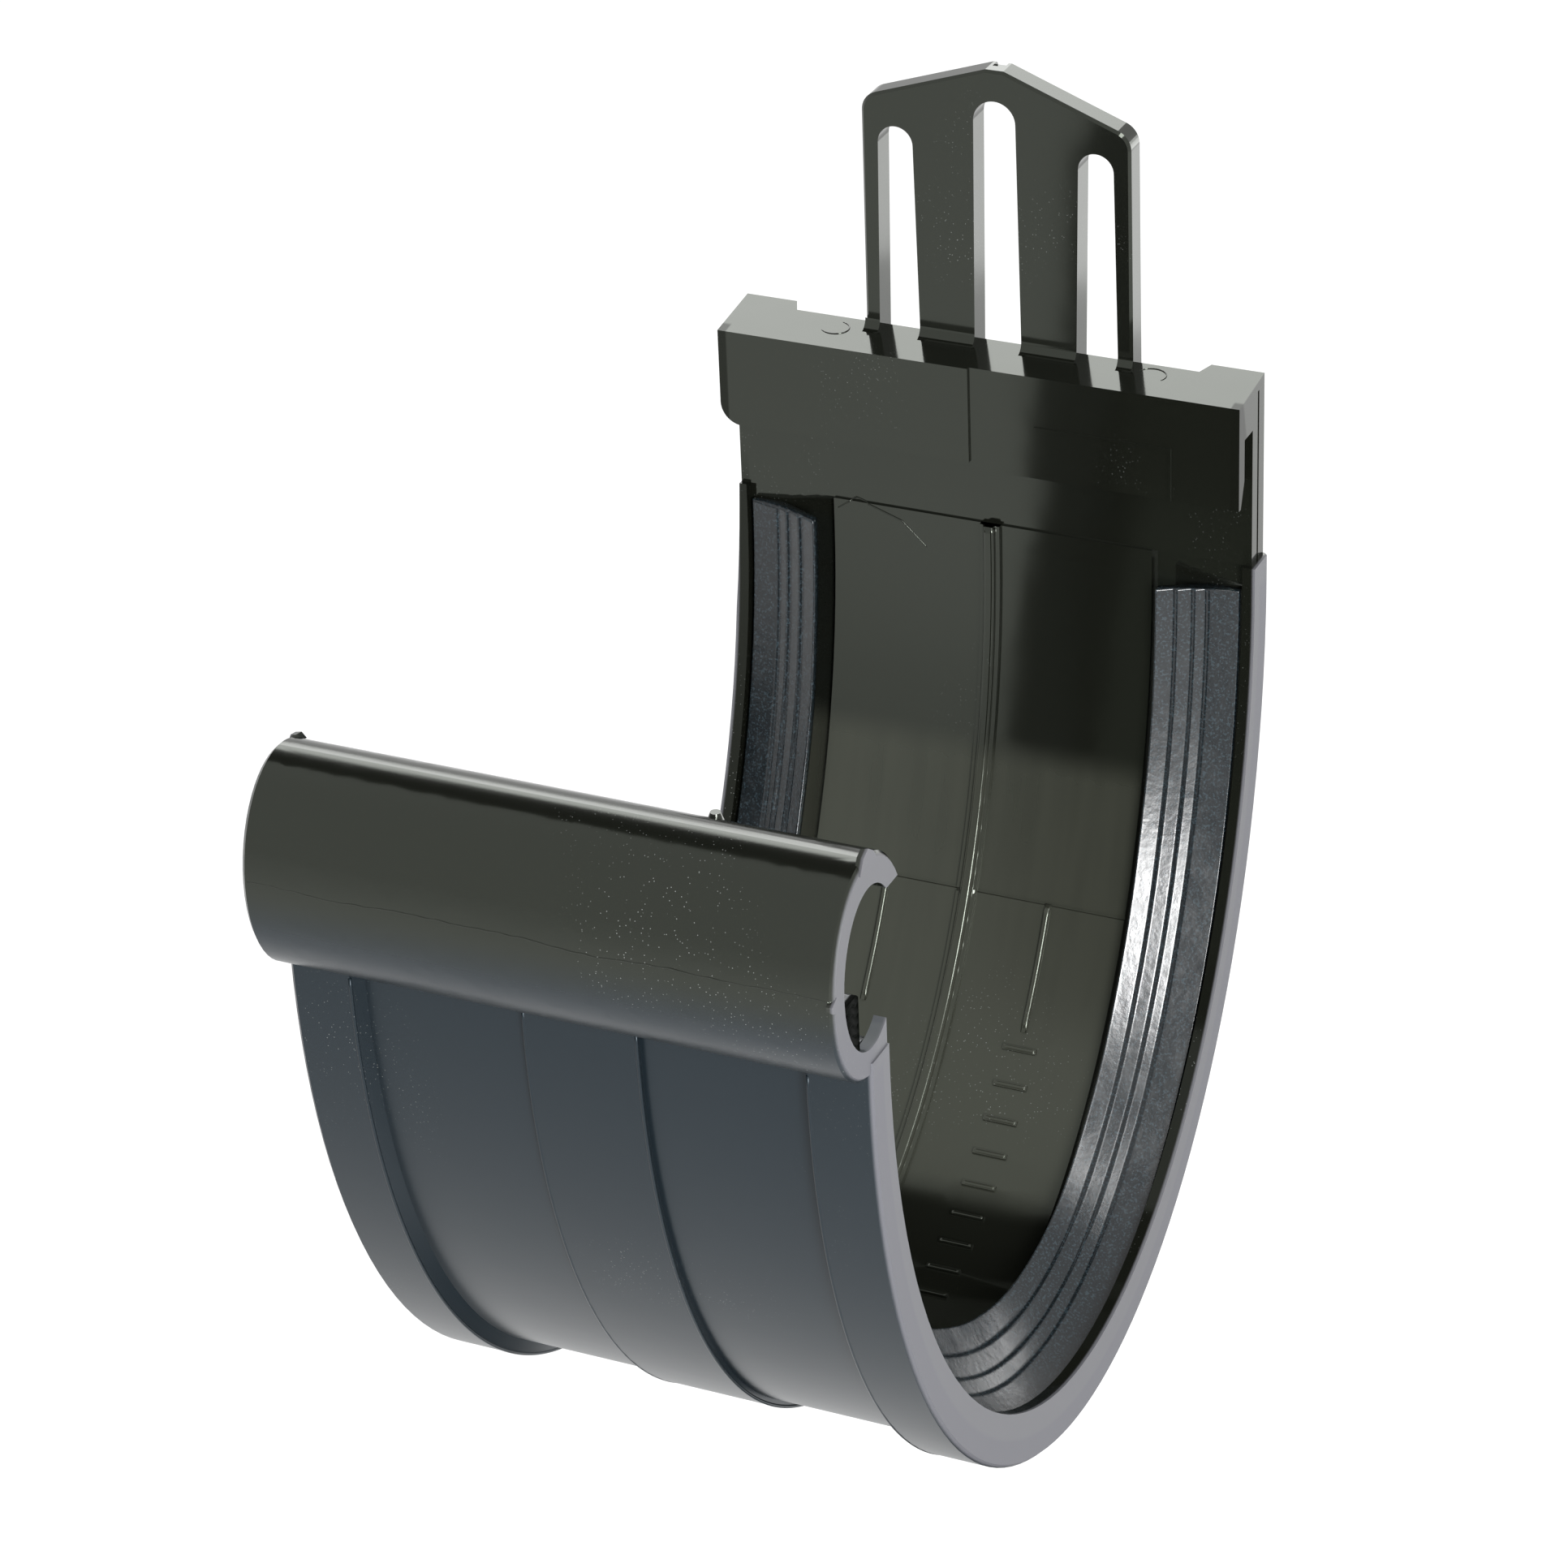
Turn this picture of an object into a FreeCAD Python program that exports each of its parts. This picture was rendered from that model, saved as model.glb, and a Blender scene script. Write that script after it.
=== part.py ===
# Gutter union: a moulded coupling that joins two lengths of deep half-oval gutter.
#
# Frame: X runs along the gutter, +Y points at the fascia board, +Z is up. The origin is on the
# middle line of the channel, half way along, at the level where the oval meets the upright walls.
# All lengths are in millimetres.

import FreeCAD, Part
import math
import os

# Driving dimensions of the channel section
OUTER_HALF_WIDTH = 63.0      # half width over the end bands
OUTER_DEPTH = 85.6           # depth below the origin over the end bands
HALF_LENGTH = 36.0           # from the middle to an end face
BACK_SHORT = 0.7             # the upright back and its hook are this much shorter at each end
BAND_STEP = 2.0              # how far the end bands stand out of the plain shell
CENTRE_BAND_STEP = 0.9       # how far the middle band stands out
BAND_WIDTH = 7.7             # end band, without its sloped side
BAND_SLOPE = 1.1             # how far the sloped side runs along the gutter
CENTRE_BAND_HALF = 7.0
SHELL_WALL = 2.5             # plain shell at the sides
FLOOR_EXTRA = 0.5            # extra wall under the channel
FLANGE_WALL = 4.9            # end flange at the sides
FLANGE_FLOOR_EXTRA = 2.4     # extra flange height at the bottom
FLANGE_THICKNESS = 1.7       # along the gutter
RIM_CHAMFER = 0.5
LEFT_RIM_EASE = 18.0         # the left end's face runs in to the back's end over this height

OVERLAP = 0.5                # how deep raised details are rooted in the wall

# Grooves for the seals
GROOVE_WIDTH = 12.3
GROOVE_DEPTH = 1.1
GROOVE_TOP = 3.3             # above the origin, at the back

# Centre stop and marks inside the channel
STOP_PLINTH_WIDTH = 2.7
STOP_PLINTH_HEIGHT = 0.5
STOP_RIB_WIDTH = 1.3
STOP_RIB_HEIGHT = 1.0
LEDGE_HEIGHT = 0.35          # the channel stands this far inside the upright back
GUIDE_X = 11.4               # from the middle, one guide line for each gutter
GUIDE_WIDTH = 0.5
GUIDE_HEIGHT = 0.35
GUIDE_START = 34.4           # degrees round the channel, down from its back edge
GUIDE_END = 47.6
TICK_COUNT = 9
TICK_LENGTH = 4.6
TICK_WIDTH = 0.7
TICK_HEIGHT = 0.35
TICK_START = 49.7            # degrees, as above
TICK_END = 83.0
PARTING_PLACE = 34.2         # degrees, as above
PARTING_WIDTH = 0.45
PARTING_DEPTH = 0.25

# Back hook
HOOK_GAP = 2.95              # room for the gutter's back edge, between leg and back
HOOK_TOP = 27.2              # height of the top face at its front edge
HOOK_RISE = 0.12             # slope of the top face, height per depth
HOOK_CEILING = 22.2          # underside of the hook
LEG_THICKNESS = 1.9
LEG_BOTTOM = 13.2
LEG_TAPER = 3.4              # height of the taper at the leg's tip
LEG_TIP = 0.65               # thickness left at the tip
LEFT_PROUD = 0.4             # the left half of the leg stands proud of the right
LEFT_SHORT = 0.9             # and ends this much higher
LEG_CORNER = 3.0             # rounding at the leg's left corner
SEAM_X = -0.8
PANEL_LEFT = 8.0
PANEL_RIGHT = 26.3
PANEL_TOP = 20.4
PANEL_LINE = 0.35
PANEL_RAISE = 0.15
SLIT_WIDTH = 0.5             # line between the pad and the wall on each end
SLIT_DEPTH = 1.2
SLIT_PLACE = 0.4             # from the plain shell's outside, inwards

# Fixing lug
LUG_CENTRE = 1.0
LUG_HALF_WIDTH = 18.2
LUG_TAPER = 0.25             # narrower at the shoulder, each side
LUG_THICKNESS = 3.5
LUG_PEAK = 65.0
LUG_SHOULDER_DROP = 5.6      # from the peak down to the left corner, before it is rounded
LUG_RIGHT_DROP = 6.4         # from the peak down to the right corner
LUG_PEAK_WIDTH = 2.4
LUG_CORNER = 2.7
LUG_ROOT = 8.0
LUG_SLOT_FOOT = 18.0         # the slots run down behind the wall to here
LUG_FOOT_FILLET = 1.5
LUG_EDGE = 0.35
OUTER_SLOT_OFFSET = 13.4
OUTER_SLOT_TOP_WIDTH = 4.7
OUTER_SLOT_FOOT_WIDTH = 5.9
OUTER_SLOT_DROP = 9.1        # from the peak down to the outer slots' tops
MIDDLE_SLOT_TOP_WIDTH = 5.6
MIDDLE_SLOT_FOOT_WIDTH = 6.6
MIDDLE_SLOT_DROP = 4.0
PEAK_NOTCH_WIDTH = 1.6
PEAK_NOTCH_DEPTH = 0.5

# Front clip that snaps round the gutter's bead
CLIP_SHORT = 0.2             # shorter than the channel by this much at each end
CLIP_OFFSET = 0.9            # the clip's centre lies this far outside the plain shell
CLIP_CENTRE_Z = 13.1
CLIP_HALF_WIDTH = 9.9
CLIP_HALF_HEIGHT = 13.5
CLIP_WALL_FRONT = 2.9
CLIP_WALL_FLOOR = 3.6
CLIP_LIP_OVERHANG = 0.3      # the lower lip reaches this far in over the channel's wall
CLIP_MOUTH_TOP = 7.3         # the upper lip ends this high above the clip's centre
CLIP_EDGE = 0.5
GATE_NUB_X = 16.0
GATE_NUB_OFFSET = 4.4        # from the clip's centre towards the channel
GATE_NUB_RADIUS = 1.2
GATE_NUB_HEIGHT = 0.8

# Seals
SEAL_CLEARANCE = 0.15
SEAL_WIDTH = 10.4
SEAL_END_GAP = 0.5           # between the seal and the end flange
SEAL_FOOT_WIDTH = 4.2
SEAL_OUTER_HEIGHT = 0.9
SEAL_LIP_HEIGHT = 4.2
SEAL_LIP_THICKNESS = 1.5
SEAL_FLARE = 6.5             # the lip's edge stands this much further in where the strip bends most
SEAL_FLARE_START = 58.0      # degrees round the channel, down from its back edge
SEAL_FLARE_PLACE = 115.0     # where the flare is greatest
SEAL_FLARE_CURVE = 1.3       # 1 would share the flare evenly over the strip's width
SEAL_FLARE_STEPS = 12        # sections from the channel's back edge to its front edge
SMOOTH_SHARE = 0.43          # share of the width that is smooth
RIB_COUNT = 3
RIB_NOTCH = 0.45
SEAL_LEFT_TOP = 1.0
SEAL_RIGHT_TOP = -0.4
CLIP_SEAL_TOP = -1.7         # the tail's end, above the clip's centre
CLIP_SEAL_PLUG = 4.4         # the tail's end swells to this thickness at the front of the clip
CLIP_SEAL_SHORT = 0.3        # and reaches along the bore to this far from the clip's end
SEAL_FRONT_DROP = 0.6        # the ribbed lip ends this far below the clip's lower lip
SEAL_TAIL_DROP = 2.5         # how far the tail overlaps the ribbed lip

# Clear of the model on every side, for cutting shapes
BEYOND = 40.0

# Sizes that follow from the ones above
SHELL_HALF_WIDTH = OUTER_HALF_WIDTH - BAND_STEP
SHELL_DEPTH = OUTER_DEPTH - BAND_STEP
CHANNEL_HALF_WIDTH = SHELL_HALF_WIDTH - SHELL_WALL
CHANNEL_DEPTH = SHELL_DEPTH - SHELL_WALL - FLOOR_EXTRA
BACK_FACE = CHANNEL_HALF_WIDTH + LEDGE_HEIGHT
BACK_HALF_LENGTH = HALF_LENGTH - BACK_SHORT
BAND_EDGE = HALF_LENGTH - BAND_WIDTH
GROOVE_HALF_WIDTH = CHANNEL_HALF_WIDTH + GROOVE_DEPTH
GROOVE_FLOOR_DEPTH = CHANNEL_DEPTH + GROOVE_DEPTH
GROOVE_OUTER_EDGE = HALF_LENGTH - FLANGE_THICKNESS
GROOVE_INNER_EDGE = GROOVE_OUTER_EDGE - GROOVE_WIDTH
HOOK_FRONT = BACK_FACE - HOOK_GAP - LEG_THICKNESS
CLIP_HALF_LENGTH = HALF_LENGTH - CLIP_SHORT
CLIP_CENTRE_Y = -SHELL_HALF_WIDTH - CLIP_OFFSET
CLIP_MOUTH_Y = -CHANNEL_HALF_WIDTH + CLIP_LIP_OVERHANG
FRONT_TOP = CLIP_CENTRE_Z - CLIP_HALF_HEIGHT + CLIP_WALL_FLOOR / 2
SEAL_FRONT_END = CLIP_CENTRE_Z - CLIP_HALF_HEIGHT - SEAL_FRONT_DROP
CLIP_BORE_HALF_WIDTH = CLIP_HALF_WIDTH - CLIP_WALL_FRONT
CLIP_BORE_HALF_HEIGHT = CLIP_HALF_HEIGHT - CLIP_WALL_FLOOR
LUG_FRONT = OUTER_HALF_WIDTH - LUG_THICKNESS
LUG_LEFT_SHOULDER = LUG_PEAK - LUG_SHOULDER_DROP
LUG_RIGHT_SHOULDER = LUG_PEAK - LUG_RIGHT_DROP
OUTER_SLOT_TOP = LUG_PEAK - OUTER_SLOT_DROP
MIDDLE_SLOT_TOP = LUG_PEAK - MIDDLE_SLOT_DROP


def point(x, y, z):
    return FreeCAD.Vector(x, y, z)


def box(x0, x1, y0, y1, z0, z1):
    return Part.makeBox(x1 - x0, y1 - y0, z1 - z0, point(x0, y0, z0))


def prism_along_x(outline, x0, x1):
    """A flat outline of (y, z) corners, carried along X."""
    corners = [point(x0, y, z) for y, z in outline]
    wire = Part.makePolygon(corners + [corners[0]])
    return Part.Face(wire).extrude(point(x1 - x0, 0, 0))


def prism_along_y(outline, y0, y1):
    """A flat outline of (x, z) corners, carried along Y."""
    corners = [point(x, y0, z) for x, z in outline]
    wire = Part.makePolygon(corners + [corners[0]])
    return Part.Face(wire).extrude(point(0, y1 - y0, 0))


def lower_half_oval(half_width, depth, x):
    """The half oval from the back (+Y), under the channel, to the front (-Y)."""
    centre = point(x, 0, 0)
    if depth >= half_width:
        oval = Part.Ellipse(point(x, 0, -depth), point(x, half_width, 0), centre)
        return oval.toShape(-math.pi / 2, math.pi / 2)
    oval = Part.Ellipse(point(x, half_width, 0), point(x, 0, -depth), centre)
    return oval.toShape(0, math.pi)


def oval_prism(y, z, half_width, half_height, x0, x1):
    """A full upright oval about (y, z), carried along X."""
    centre = point(x0, y, z)
    if half_height >= half_width:
        oval = Part.Ellipse(point(x0, y, z + half_height), point(x0, y + half_width, z), centre)
    else:
        oval = Part.Ellipse(point(x0, y + half_width, z), point(x0, y, z + half_height), centre)
    return Part.Face(Part.Wire(oval.toShape())).extrude(point(x1 - x0, 0, 0))


def trough_face(half_width, depth, top, x):
    """Half oval with upright sides up to a level, as a face across the channel."""
    arc = lower_half_oval(half_width, depth, x)
    ends = sorted((v.Point for v in arc.Vertexes), key=lambda p: p.y)
    front, back = ends[0], ends[-1]
    front_top = point(x, front.y, top)
    back_top = point(x, back.y, top)
    sides = [Part.makeLine(back, back_top), Part.makeLine(back_top, front_top),
             Part.makeLine(front_top, front)]
    return Part.Face(Part.Wire(Part.__sortEdges__([arc] + sides)))


def trough(half_width, depth, top, x0, x1):
    """Solid filling of a channel with the given half width and depth."""
    return trough_face(half_width, depth, top, x0).extrude(point(x1 - x0, 0, 0))


def shell(outer, inner, top, x0, x1):
    """A curved wall between two channel sections, each given as (half width, depth)."""
    wall = trough(outer[0], outer[1], top, x0, x1)
    return wall.cut(trough(inner[0], inner[1], top + BEYOND, x0 - BEYOND, x1 + BEYOND))


def channel_shell():
    """Plain wall of the channel, with the upright back as high as the hook's underside."""
    channel = (CHANNEL_HALF_WIDTH, CHANNEL_DEPTH)
    outside = (SHELL_HALF_WIDTH, SHELL_DEPTH)
    wall = shell(outside, channel, GROOVE_TOP, -BACK_HALF_LENGTH, BACK_HALF_LENGTH)
    back = box(-BACK_HALF_LENGTH, BACK_HALF_LENGTH, BACK_FACE, SHELL_HALF_WIDTH, 0, hook_height(BACK_FACE))
    return wall.fuse(back)


def end_band(side):
    """Raised band round one end, with a sloped inner side, and the pad that carries it up the back."""
    start = BAND_EDGE - BAND_SLOPE
    channel = (CHANNEL_HALF_WIDTH, CHANNEL_DEPTH)
    outside = (OUTER_HALF_WIDTH, OUTER_DEPTH)
    band = shell(outside, channel, GROOVE_TOP, start, HALF_LENGTH)
    pad = box(start, BACK_HALF_LENGTH, BACK_FACE, OUTER_HALF_WIDTH, 0, hook_height(BACK_FACE))
    band = band.fuse(pad).removeSplitter()
    band = band.cut(band_slope(start))
    band = band.cut(rim_slope())
    if side < 0:
        band = band.mirror(point(0, 0, 0), point(1, 0, 0))
    return band


def band_slope(start):
    """What is cut away to slope the band's inner side, down to a little below the plain shell."""
    low = trough_face(SHELL_HALF_WIDTH - OVERLAP, SHELL_DEPTH - OVERLAP, HOOK_TOP + BEYOND, start)
    high = trough_face(OUTER_HALF_WIDTH, OUTER_DEPTH, HOOK_TOP + BEYOND, start + BAND_SLOPE)
    sloped = Part.makeLoft([low.OuterWire, high.OuterWire], True, True)
    around = box(start, start + BAND_SLOPE, -OUTER_HALF_WIDTH - 1, OUTER_HALF_WIDTH + 1,
                 -OUTER_DEPTH - 1, HOOK_TOP + BEYOND / 2)
    return around.cut(sloped)


def rim_slope():
    """What is cut away to ease the outer edge of the end face."""
    start = HALF_LENGTH - RIM_CHAMFER
    wide = trough_face(OUTER_HALF_WIDTH, OUTER_DEPTH, BEYOND, start)
    narrow = trough_face(OUTER_HALF_WIDTH - RIM_CHAMFER, OUTER_DEPTH - RIM_CHAMFER, BEYOND, HALF_LENGTH)
    sloped = Part.makeLoft([wide.OuterWire, narrow.OuterWire], True, True)
    around = box(start, HALF_LENGTH, -OUTER_HALF_WIDTH - 1, OUTER_HALF_WIDTH + 1, -OUTER_DEPTH - 1,
                 GROOVE_TOP)
    return around.cut(sloped)


def left_rim_ease():
    """What is cut off the left end's face, so that it meets the shorter back without a step."""
    outline = [(-HALF_LENGTH, GROOVE_TOP - LEFT_RIM_EASE), (-BACK_HALF_LENGTH, GROOVE_TOP),
               (-BACK_HALF_LENGTH, GROOVE_TOP + 1), (-HALF_LENGTH - 1, GROOVE_TOP + 1),
               (-HALF_LENGTH - 1, GROOVE_TOP - LEFT_RIM_EASE)]
    return prism_along_y(outline, 0, OUTER_HALF_WIDTH + 1)


def end_flange(side):
    """Wall across the mouth of the groove, at one end of the channel."""
    inner = (OUTER_HALF_WIDTH - FLANGE_WALL, OUTER_DEPTH - FLANGE_WALL - FLANGE_FLOOR_EXTRA)
    outside = (SHELL_HALF_WIDTH, SHELL_DEPTH)
    flange = shell(outside, inner, GROOVE_TOP, GROOVE_OUTER_EDGE, HALF_LENGTH)
    if side < 0:
        flange = flange.mirror(point(0, 0, 0), point(1, 0, 0))
    return flange


def centre_band():
    channel = (CHANNEL_HALF_WIDTH, CHANNEL_DEPTH)
    outside = (SHELL_HALF_WIDTH + CENTRE_BAND_STEP, SHELL_DEPTH + CENTRE_BAND_STEP)
    return shell(outside, channel, GROOVE_TOP, -CENTRE_BAND_HALF, CENTRE_BAND_HALF)


def seal_groove(side):
    """Space for one seal, from the back's groove end round to the front."""
    space = trough(GROOVE_HALF_WIDTH, GROOVE_FLOOR_DEPTH, GROOVE_TOP, GROOVE_INNER_EDGE, GROOVE_OUTER_EDGE)
    if side < 0:
        space = space.mirror(point(0, 0, 0), point(1, 0, 0))
    return space


def centre_stop():
    """Rib that keeps the two gutter ends apart, on a low plinth."""
    half = STOP_PLINTH_WIDTH / 2
    channel = (CHANNEL_HALF_WIDTH + OVERLAP, CHANNEL_DEPTH + OVERLAP)
    plinth = shell(channel, (CHANNEL_HALF_WIDTH - STOP_PLINTH_HEIGHT, CHANNEL_DEPTH - STOP_PLINTH_HEIGHT),
                   GROOVE_TOP, -half, half)
    half = STOP_RIB_WIDTH / 2
    rib = shell(channel, (CHANNEL_HALF_WIDTH - STOP_RIB_HEIGHT, CHANNEL_DEPTH - STOP_RIB_HEIGHT),
                GROOVE_TOP, -half, half)
    return plinth.fuse(rib)


def channel_point(degrees):
    """(y, z) on the channel's inner surface, so far round from its back edge."""
    angle = math.radians(degrees)
    return CHANNEL_HALF_WIDTH * math.cos(angle), -CHANNEL_DEPTH * math.sin(angle)


def raised_strip(height, half_width):
    """Low strip along the channel's inner surface, over the middle of the marks."""
    root = (CHANNEL_HALF_WIDTH + OVERLAP, CHANNEL_DEPTH + OVERLAP)
    raised = (CHANNEL_HALF_WIDTH - height, CHANNEL_DEPTH - height)
    return shell(root, raised, GROOVE_TOP, GUIDE_X - half_width, GUIDE_X + half_width)


def raised_marks():
    """A guide line for each gutter, which shows how far it goes in, and plain ticks below one of them."""
    line = raised_strip(GUIDE_HEIGHT, GUIDE_WIDTH / 2)
    top = channel_point(GUIDE_START)[1]
    bottom = channel_point(GUIDE_END)[1]
    right_line = line.common(box(0, HALF_LENGTH, 0, OUTER_HALF_WIDTH, bottom, top))
    marks = [right_line, right_line.mirror(point(0, 0, 0), point(1, 0, 0))]
    strip = raised_strip(TICK_HEIGHT, TICK_LENGTH / 2)
    for i in range(TICK_COUNT):
        y, z = channel_point(TICK_START + (TICK_END - TICK_START) * i / (TICK_COUNT - 1))
        cutter = Part.makeBox(TICK_LENGTH, 2 * SHELL_WALL, TICK_WIDTH,
                              point(GUIDE_X - TICK_LENGTH / 2, -SHELL_WALL, -TICK_WIDTH / 2))
        lean = math.degrees(math.atan2(z / CHANNEL_DEPTH ** 2, y / CHANNEL_HALF_WIDTH ** 2))
        cutter.rotate(point(0, 0, 0), point(1, 0, 0), lean)
        cutter.translate(point(0, y, z))
        marks.append(strip.common(cutter))
    return marks


def parting_line():
    """Fine groove where the mould's parts meet, across the inside of the back."""
    groove = (CHANNEL_HALF_WIDTH + PARTING_DEPTH, CHANNEL_DEPTH + PARTING_DEPTH)
    strip = trough(groove[0], groove[1], GROOVE_TOP, -GROOVE_INNER_EDGE, GROOVE_INNER_EDGE)
    middle = channel_point(PARTING_PLACE)[1]
    level = box(-GROOVE_INNER_EDGE, GROOVE_INNER_EDGE, 0, OUTER_HALF_WIDTH,
                middle - PARTING_WIDTH / 2, middle + PARTING_WIDTH / 2)
    return strip.common(level)


def hook_height(y):
    """Height of the hook's sloped top face at a depth y."""
    return HOOK_TOP + (y - HOOK_FRONT) * HOOK_RISE


def hook_half(x0, x1, front, bottom):
    """One half of the hook: a top plate and a hanging leg with a tapered tip."""
    leg_back = HOOK_FRONT + LEG_THICKNESS
    outline = [(front, bottom), (front, hook_height(front)),
               (SHELL_HALF_WIDTH, hook_height(SHELL_HALF_WIDTH)), (SHELL_HALF_WIDTH, HOOK_CEILING),
               (leg_back, HOOK_CEILING), (leg_back, bottom + LEG_TAPER), (front + LEG_TIP, bottom)]
    return prism_along_x(outline, x0, x1)


def hook():
    """Hook over the gutter's back edge. Its left half stands proud and ends higher."""
    left = hook_half(-BACK_HALF_LENGTH, SEAM_X, HOOK_FRONT - LEFT_PROUD, LEG_BOTTOM + LEFT_SHORT)
    corner_z = LEG_BOTTOM + LEFT_SHORT
    inner_x = -BACK_HALF_LENGTH + LEG_CORNER
    left_corner = box(-BACK_HALF_LENGTH - 1, inner_x, 0, HOOK_FRONT + LEG_THICKNESS + 1,
                      corner_z - 1, corner_z + LEG_CORNER)
    rounding = Part.makeCylinder(LEG_CORNER, OUTER_HALF_WIDTH, point(inner_x, 0, corner_z + LEG_CORNER),
                                 point(0, 1, 0))
    left = left.cut(left_corner.cut(rounding))
    right = hook_half(SEAM_X, BACK_HALF_LENGTH, HOOK_FRONT, LEG_BOTTOM)
    return left.fuse(right)


def pads():
    """Tops of the two end pads, which follow the hook's slope back to the fascia."""
    outline = [(BACK_FACE, HOOK_CEILING), (BACK_FACE, hook_height(BACK_FACE)),
               (OUTER_HALF_WIDTH, hook_height(OUTER_HALF_WIDTH)), (OUTER_HALF_WIDTH, HOOK_CEILING)]
    right = prism_along_x(outline, BAND_EDGE - BAND_SLOPE, BACK_HALF_LENGTH)
    right = right.cut(band_slope(BAND_EDGE - BAND_SLOPE))
    return right.fuse(right.mirror(point(0, 0, 0), point(1, 0, 0)))


def panel_line():
    """Faint raised line on the right half of the leg's face."""
    front = HOOK_FRONT - PANEL_RAISE
    back = HOOK_FRONT + OVERLAP
    across = box(PANEL_LEFT, PANEL_RIGHT, front, back, PANEL_TOP - PANEL_LINE, PANEL_TOP)
    down = box(PANEL_RIGHT - PANEL_LINE, PANEL_RIGHT, front, back, LEG_BOTTOM, PANEL_TOP)
    return across.fuse(down)


def end_slit(side):
    """Thin line between the pad and the wall on one end of the back."""
    y = SHELL_HALF_WIDTH - SLIT_PLACE
    slit = box(BACK_HALF_LENGTH - SLIT_DEPTH, BACK_HALF_LENGTH + 1, y, y + SLIT_WIDTH,
               GROOVE_TOP, hook_height(y) - SLIT_DEPTH)
    if side < 0:
        slit = slit.mirror(point(0, 0, 0), point(1, 0, 0))
    return slit


def lug_plate():
    """Five-sided plate with rounded shoulders and a short flat peak, thick as the lug."""
    foot = LUG_HALF_WIDTH
    shoulder = LUG_HALF_WIDTH - LUG_TAPER
    peak = LUG_PEAK_WIDTH / 2
    outline = [(-foot, LUG_ROOT), (-shoulder, LUG_LEFT_SHOULDER), (-peak, LUG_PEAK),
               (peak, LUG_PEAK), (shoulder, LUG_RIGHT_SHOULDER), (foot, LUG_ROOT)]
    plate = prism_along_y([(LUG_CENTRE + x, z) for x, z in outline], LUG_FRONT, OUTER_HALF_WIDTH)
    levels = (LUG_LEFT_SHOULDER, LUG_RIGHT_SHOULDER)
    shoulders = [e for e in plate.Edges if e.BoundBox.ZLength < 1e-6
                 and min(abs(e.BoundBox.ZMax - level) for level in levels) < 1e-6]
    plate = plate.makeFillet(LUG_CORNER, shoulders)
    face_edges = [e for e in plate.Edges if e.BoundBox.YLength < 1e-6 and e.BoundBox.ZMax > LUG_ROOT + 1]
    return plate.makeChamfer(LUG_EDGE, face_edges)


def lug_slot(centre, top_width, foot_width, top):
    """One upright slot: square foot, straight sides that lean in, and a round top."""
    radius = top_width / 2
    spring = top - radius
    foot = LUG_SLOT_FOOT
    outline = [(centre - foot_width / 2, foot), (centre - radius, spring),
               (centre + radius, spring), (centre + foot_width / 2, foot)]
    slot = prism_along_y(outline, LUG_FRONT - LUG_FOOT_FILLET - 1, OUTER_HALF_WIDTH + 1)
    arch = Part.makeCylinder(radius, LUG_THICKNESS + LUG_FOOT_FILLET + 2,
                             point(centre, LUG_FRONT - LUG_FOOT_FILLET - 1, spring), point(0, 1, 0))
    return slot.fuse(arch)


def foot_fillet():
    """Hollow rounding between the hook's top and the lug's front face."""
    size = LUG_FOOT_FILLET
    z = hook_height(LUG_FRONT - size)
    strip = box(LUG_CENTRE - LUG_HALF_WIDTH, LUG_CENTRE + LUG_HALF_WIDTH, LUG_FRONT - size, LUG_FRONT,
                z - size / 2, z + size)
    start = point(LUG_CENTRE - LUG_HALF_WIDTH, LUG_FRONT - size, z + size)
    hollow = Part.makeCylinder(size, 2 * LUG_HALF_WIDTH, start, point(1, 0, 0))
    return strip.cut(hollow)


def fixing_lug():
    """Slotted lug that is screwed to the fascia."""
    lug = lug_plate().fuse(foot_fillet())
    slots = [(LUG_CENTRE, MIDDLE_SLOT_TOP_WIDTH, MIDDLE_SLOT_FOOT_WIDTH, MIDDLE_SLOT_TOP)]
    for side in (-1, 1):
        slots.append((LUG_CENTRE + side * OUTER_SLOT_OFFSET, OUTER_SLOT_TOP_WIDTH, OUTER_SLOT_FOOT_WIDTH,
                      OUTER_SLOT_TOP))
    for slot in slots:
        lug = lug.cut(lug_slot(*slot))
    notch = box(LUG_CENTRE - PEAK_NOTCH_WIDTH / 2, LUG_CENTRE + PEAK_NOTCH_WIDTH / 2,
                OUTER_HALF_WIDTH - LUG_THICKNESS / 2, OUTER_HALF_WIDTH + 1,
                LUG_PEAK - PEAK_NOTCH_DEPTH, LUG_PEAK + 1)
    return lug.cut(notch)


def oval_floor(y, half_width, half_height):
    """Height of the lower side of an oval about the clip's centre, at a depth y."""
    share = (y - CLIP_CENTRE_Y) / half_width
    return CLIP_CENTRE_Z - half_height * math.sqrt(max(0.0, 1 - share * share))


def front_clip():
    """C-shaped clip along the front. Its upper lip curls over and down towards the channel."""
    tube = oval_prism(CLIP_CENTRE_Y, CLIP_CENTRE_Z, CLIP_HALF_WIDTH, CLIP_HALF_HEIGHT,
                      -CLIP_HALF_LENGTH, CLIP_HALF_LENGTH)
    tube = tube.makeChamfer(CLIP_EDGE, [e for e in tube.Edges if e.BoundBox.XLength < 1e-6])
    bore = oval_prism(CLIP_CENTRE_Y, CLIP_CENTRE_Z, CLIP_BORE_HALF_WIDTH, CLIP_BORE_HALF_HEIGHT,
                      -HALF_LENGTH - 1, HALF_LENGTH + 1)
    mouth = box(-HALF_LENGTH - 1, HALF_LENGTH + 1, CLIP_MOUTH_Y, 0,
                CLIP_CENTRE_Z - CLIP_HALF_HEIGHT - 1, CLIP_CENTRE_Z + CLIP_MOUTH_TOP)
    return tube.cut(bore).cut(mouth)


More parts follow.
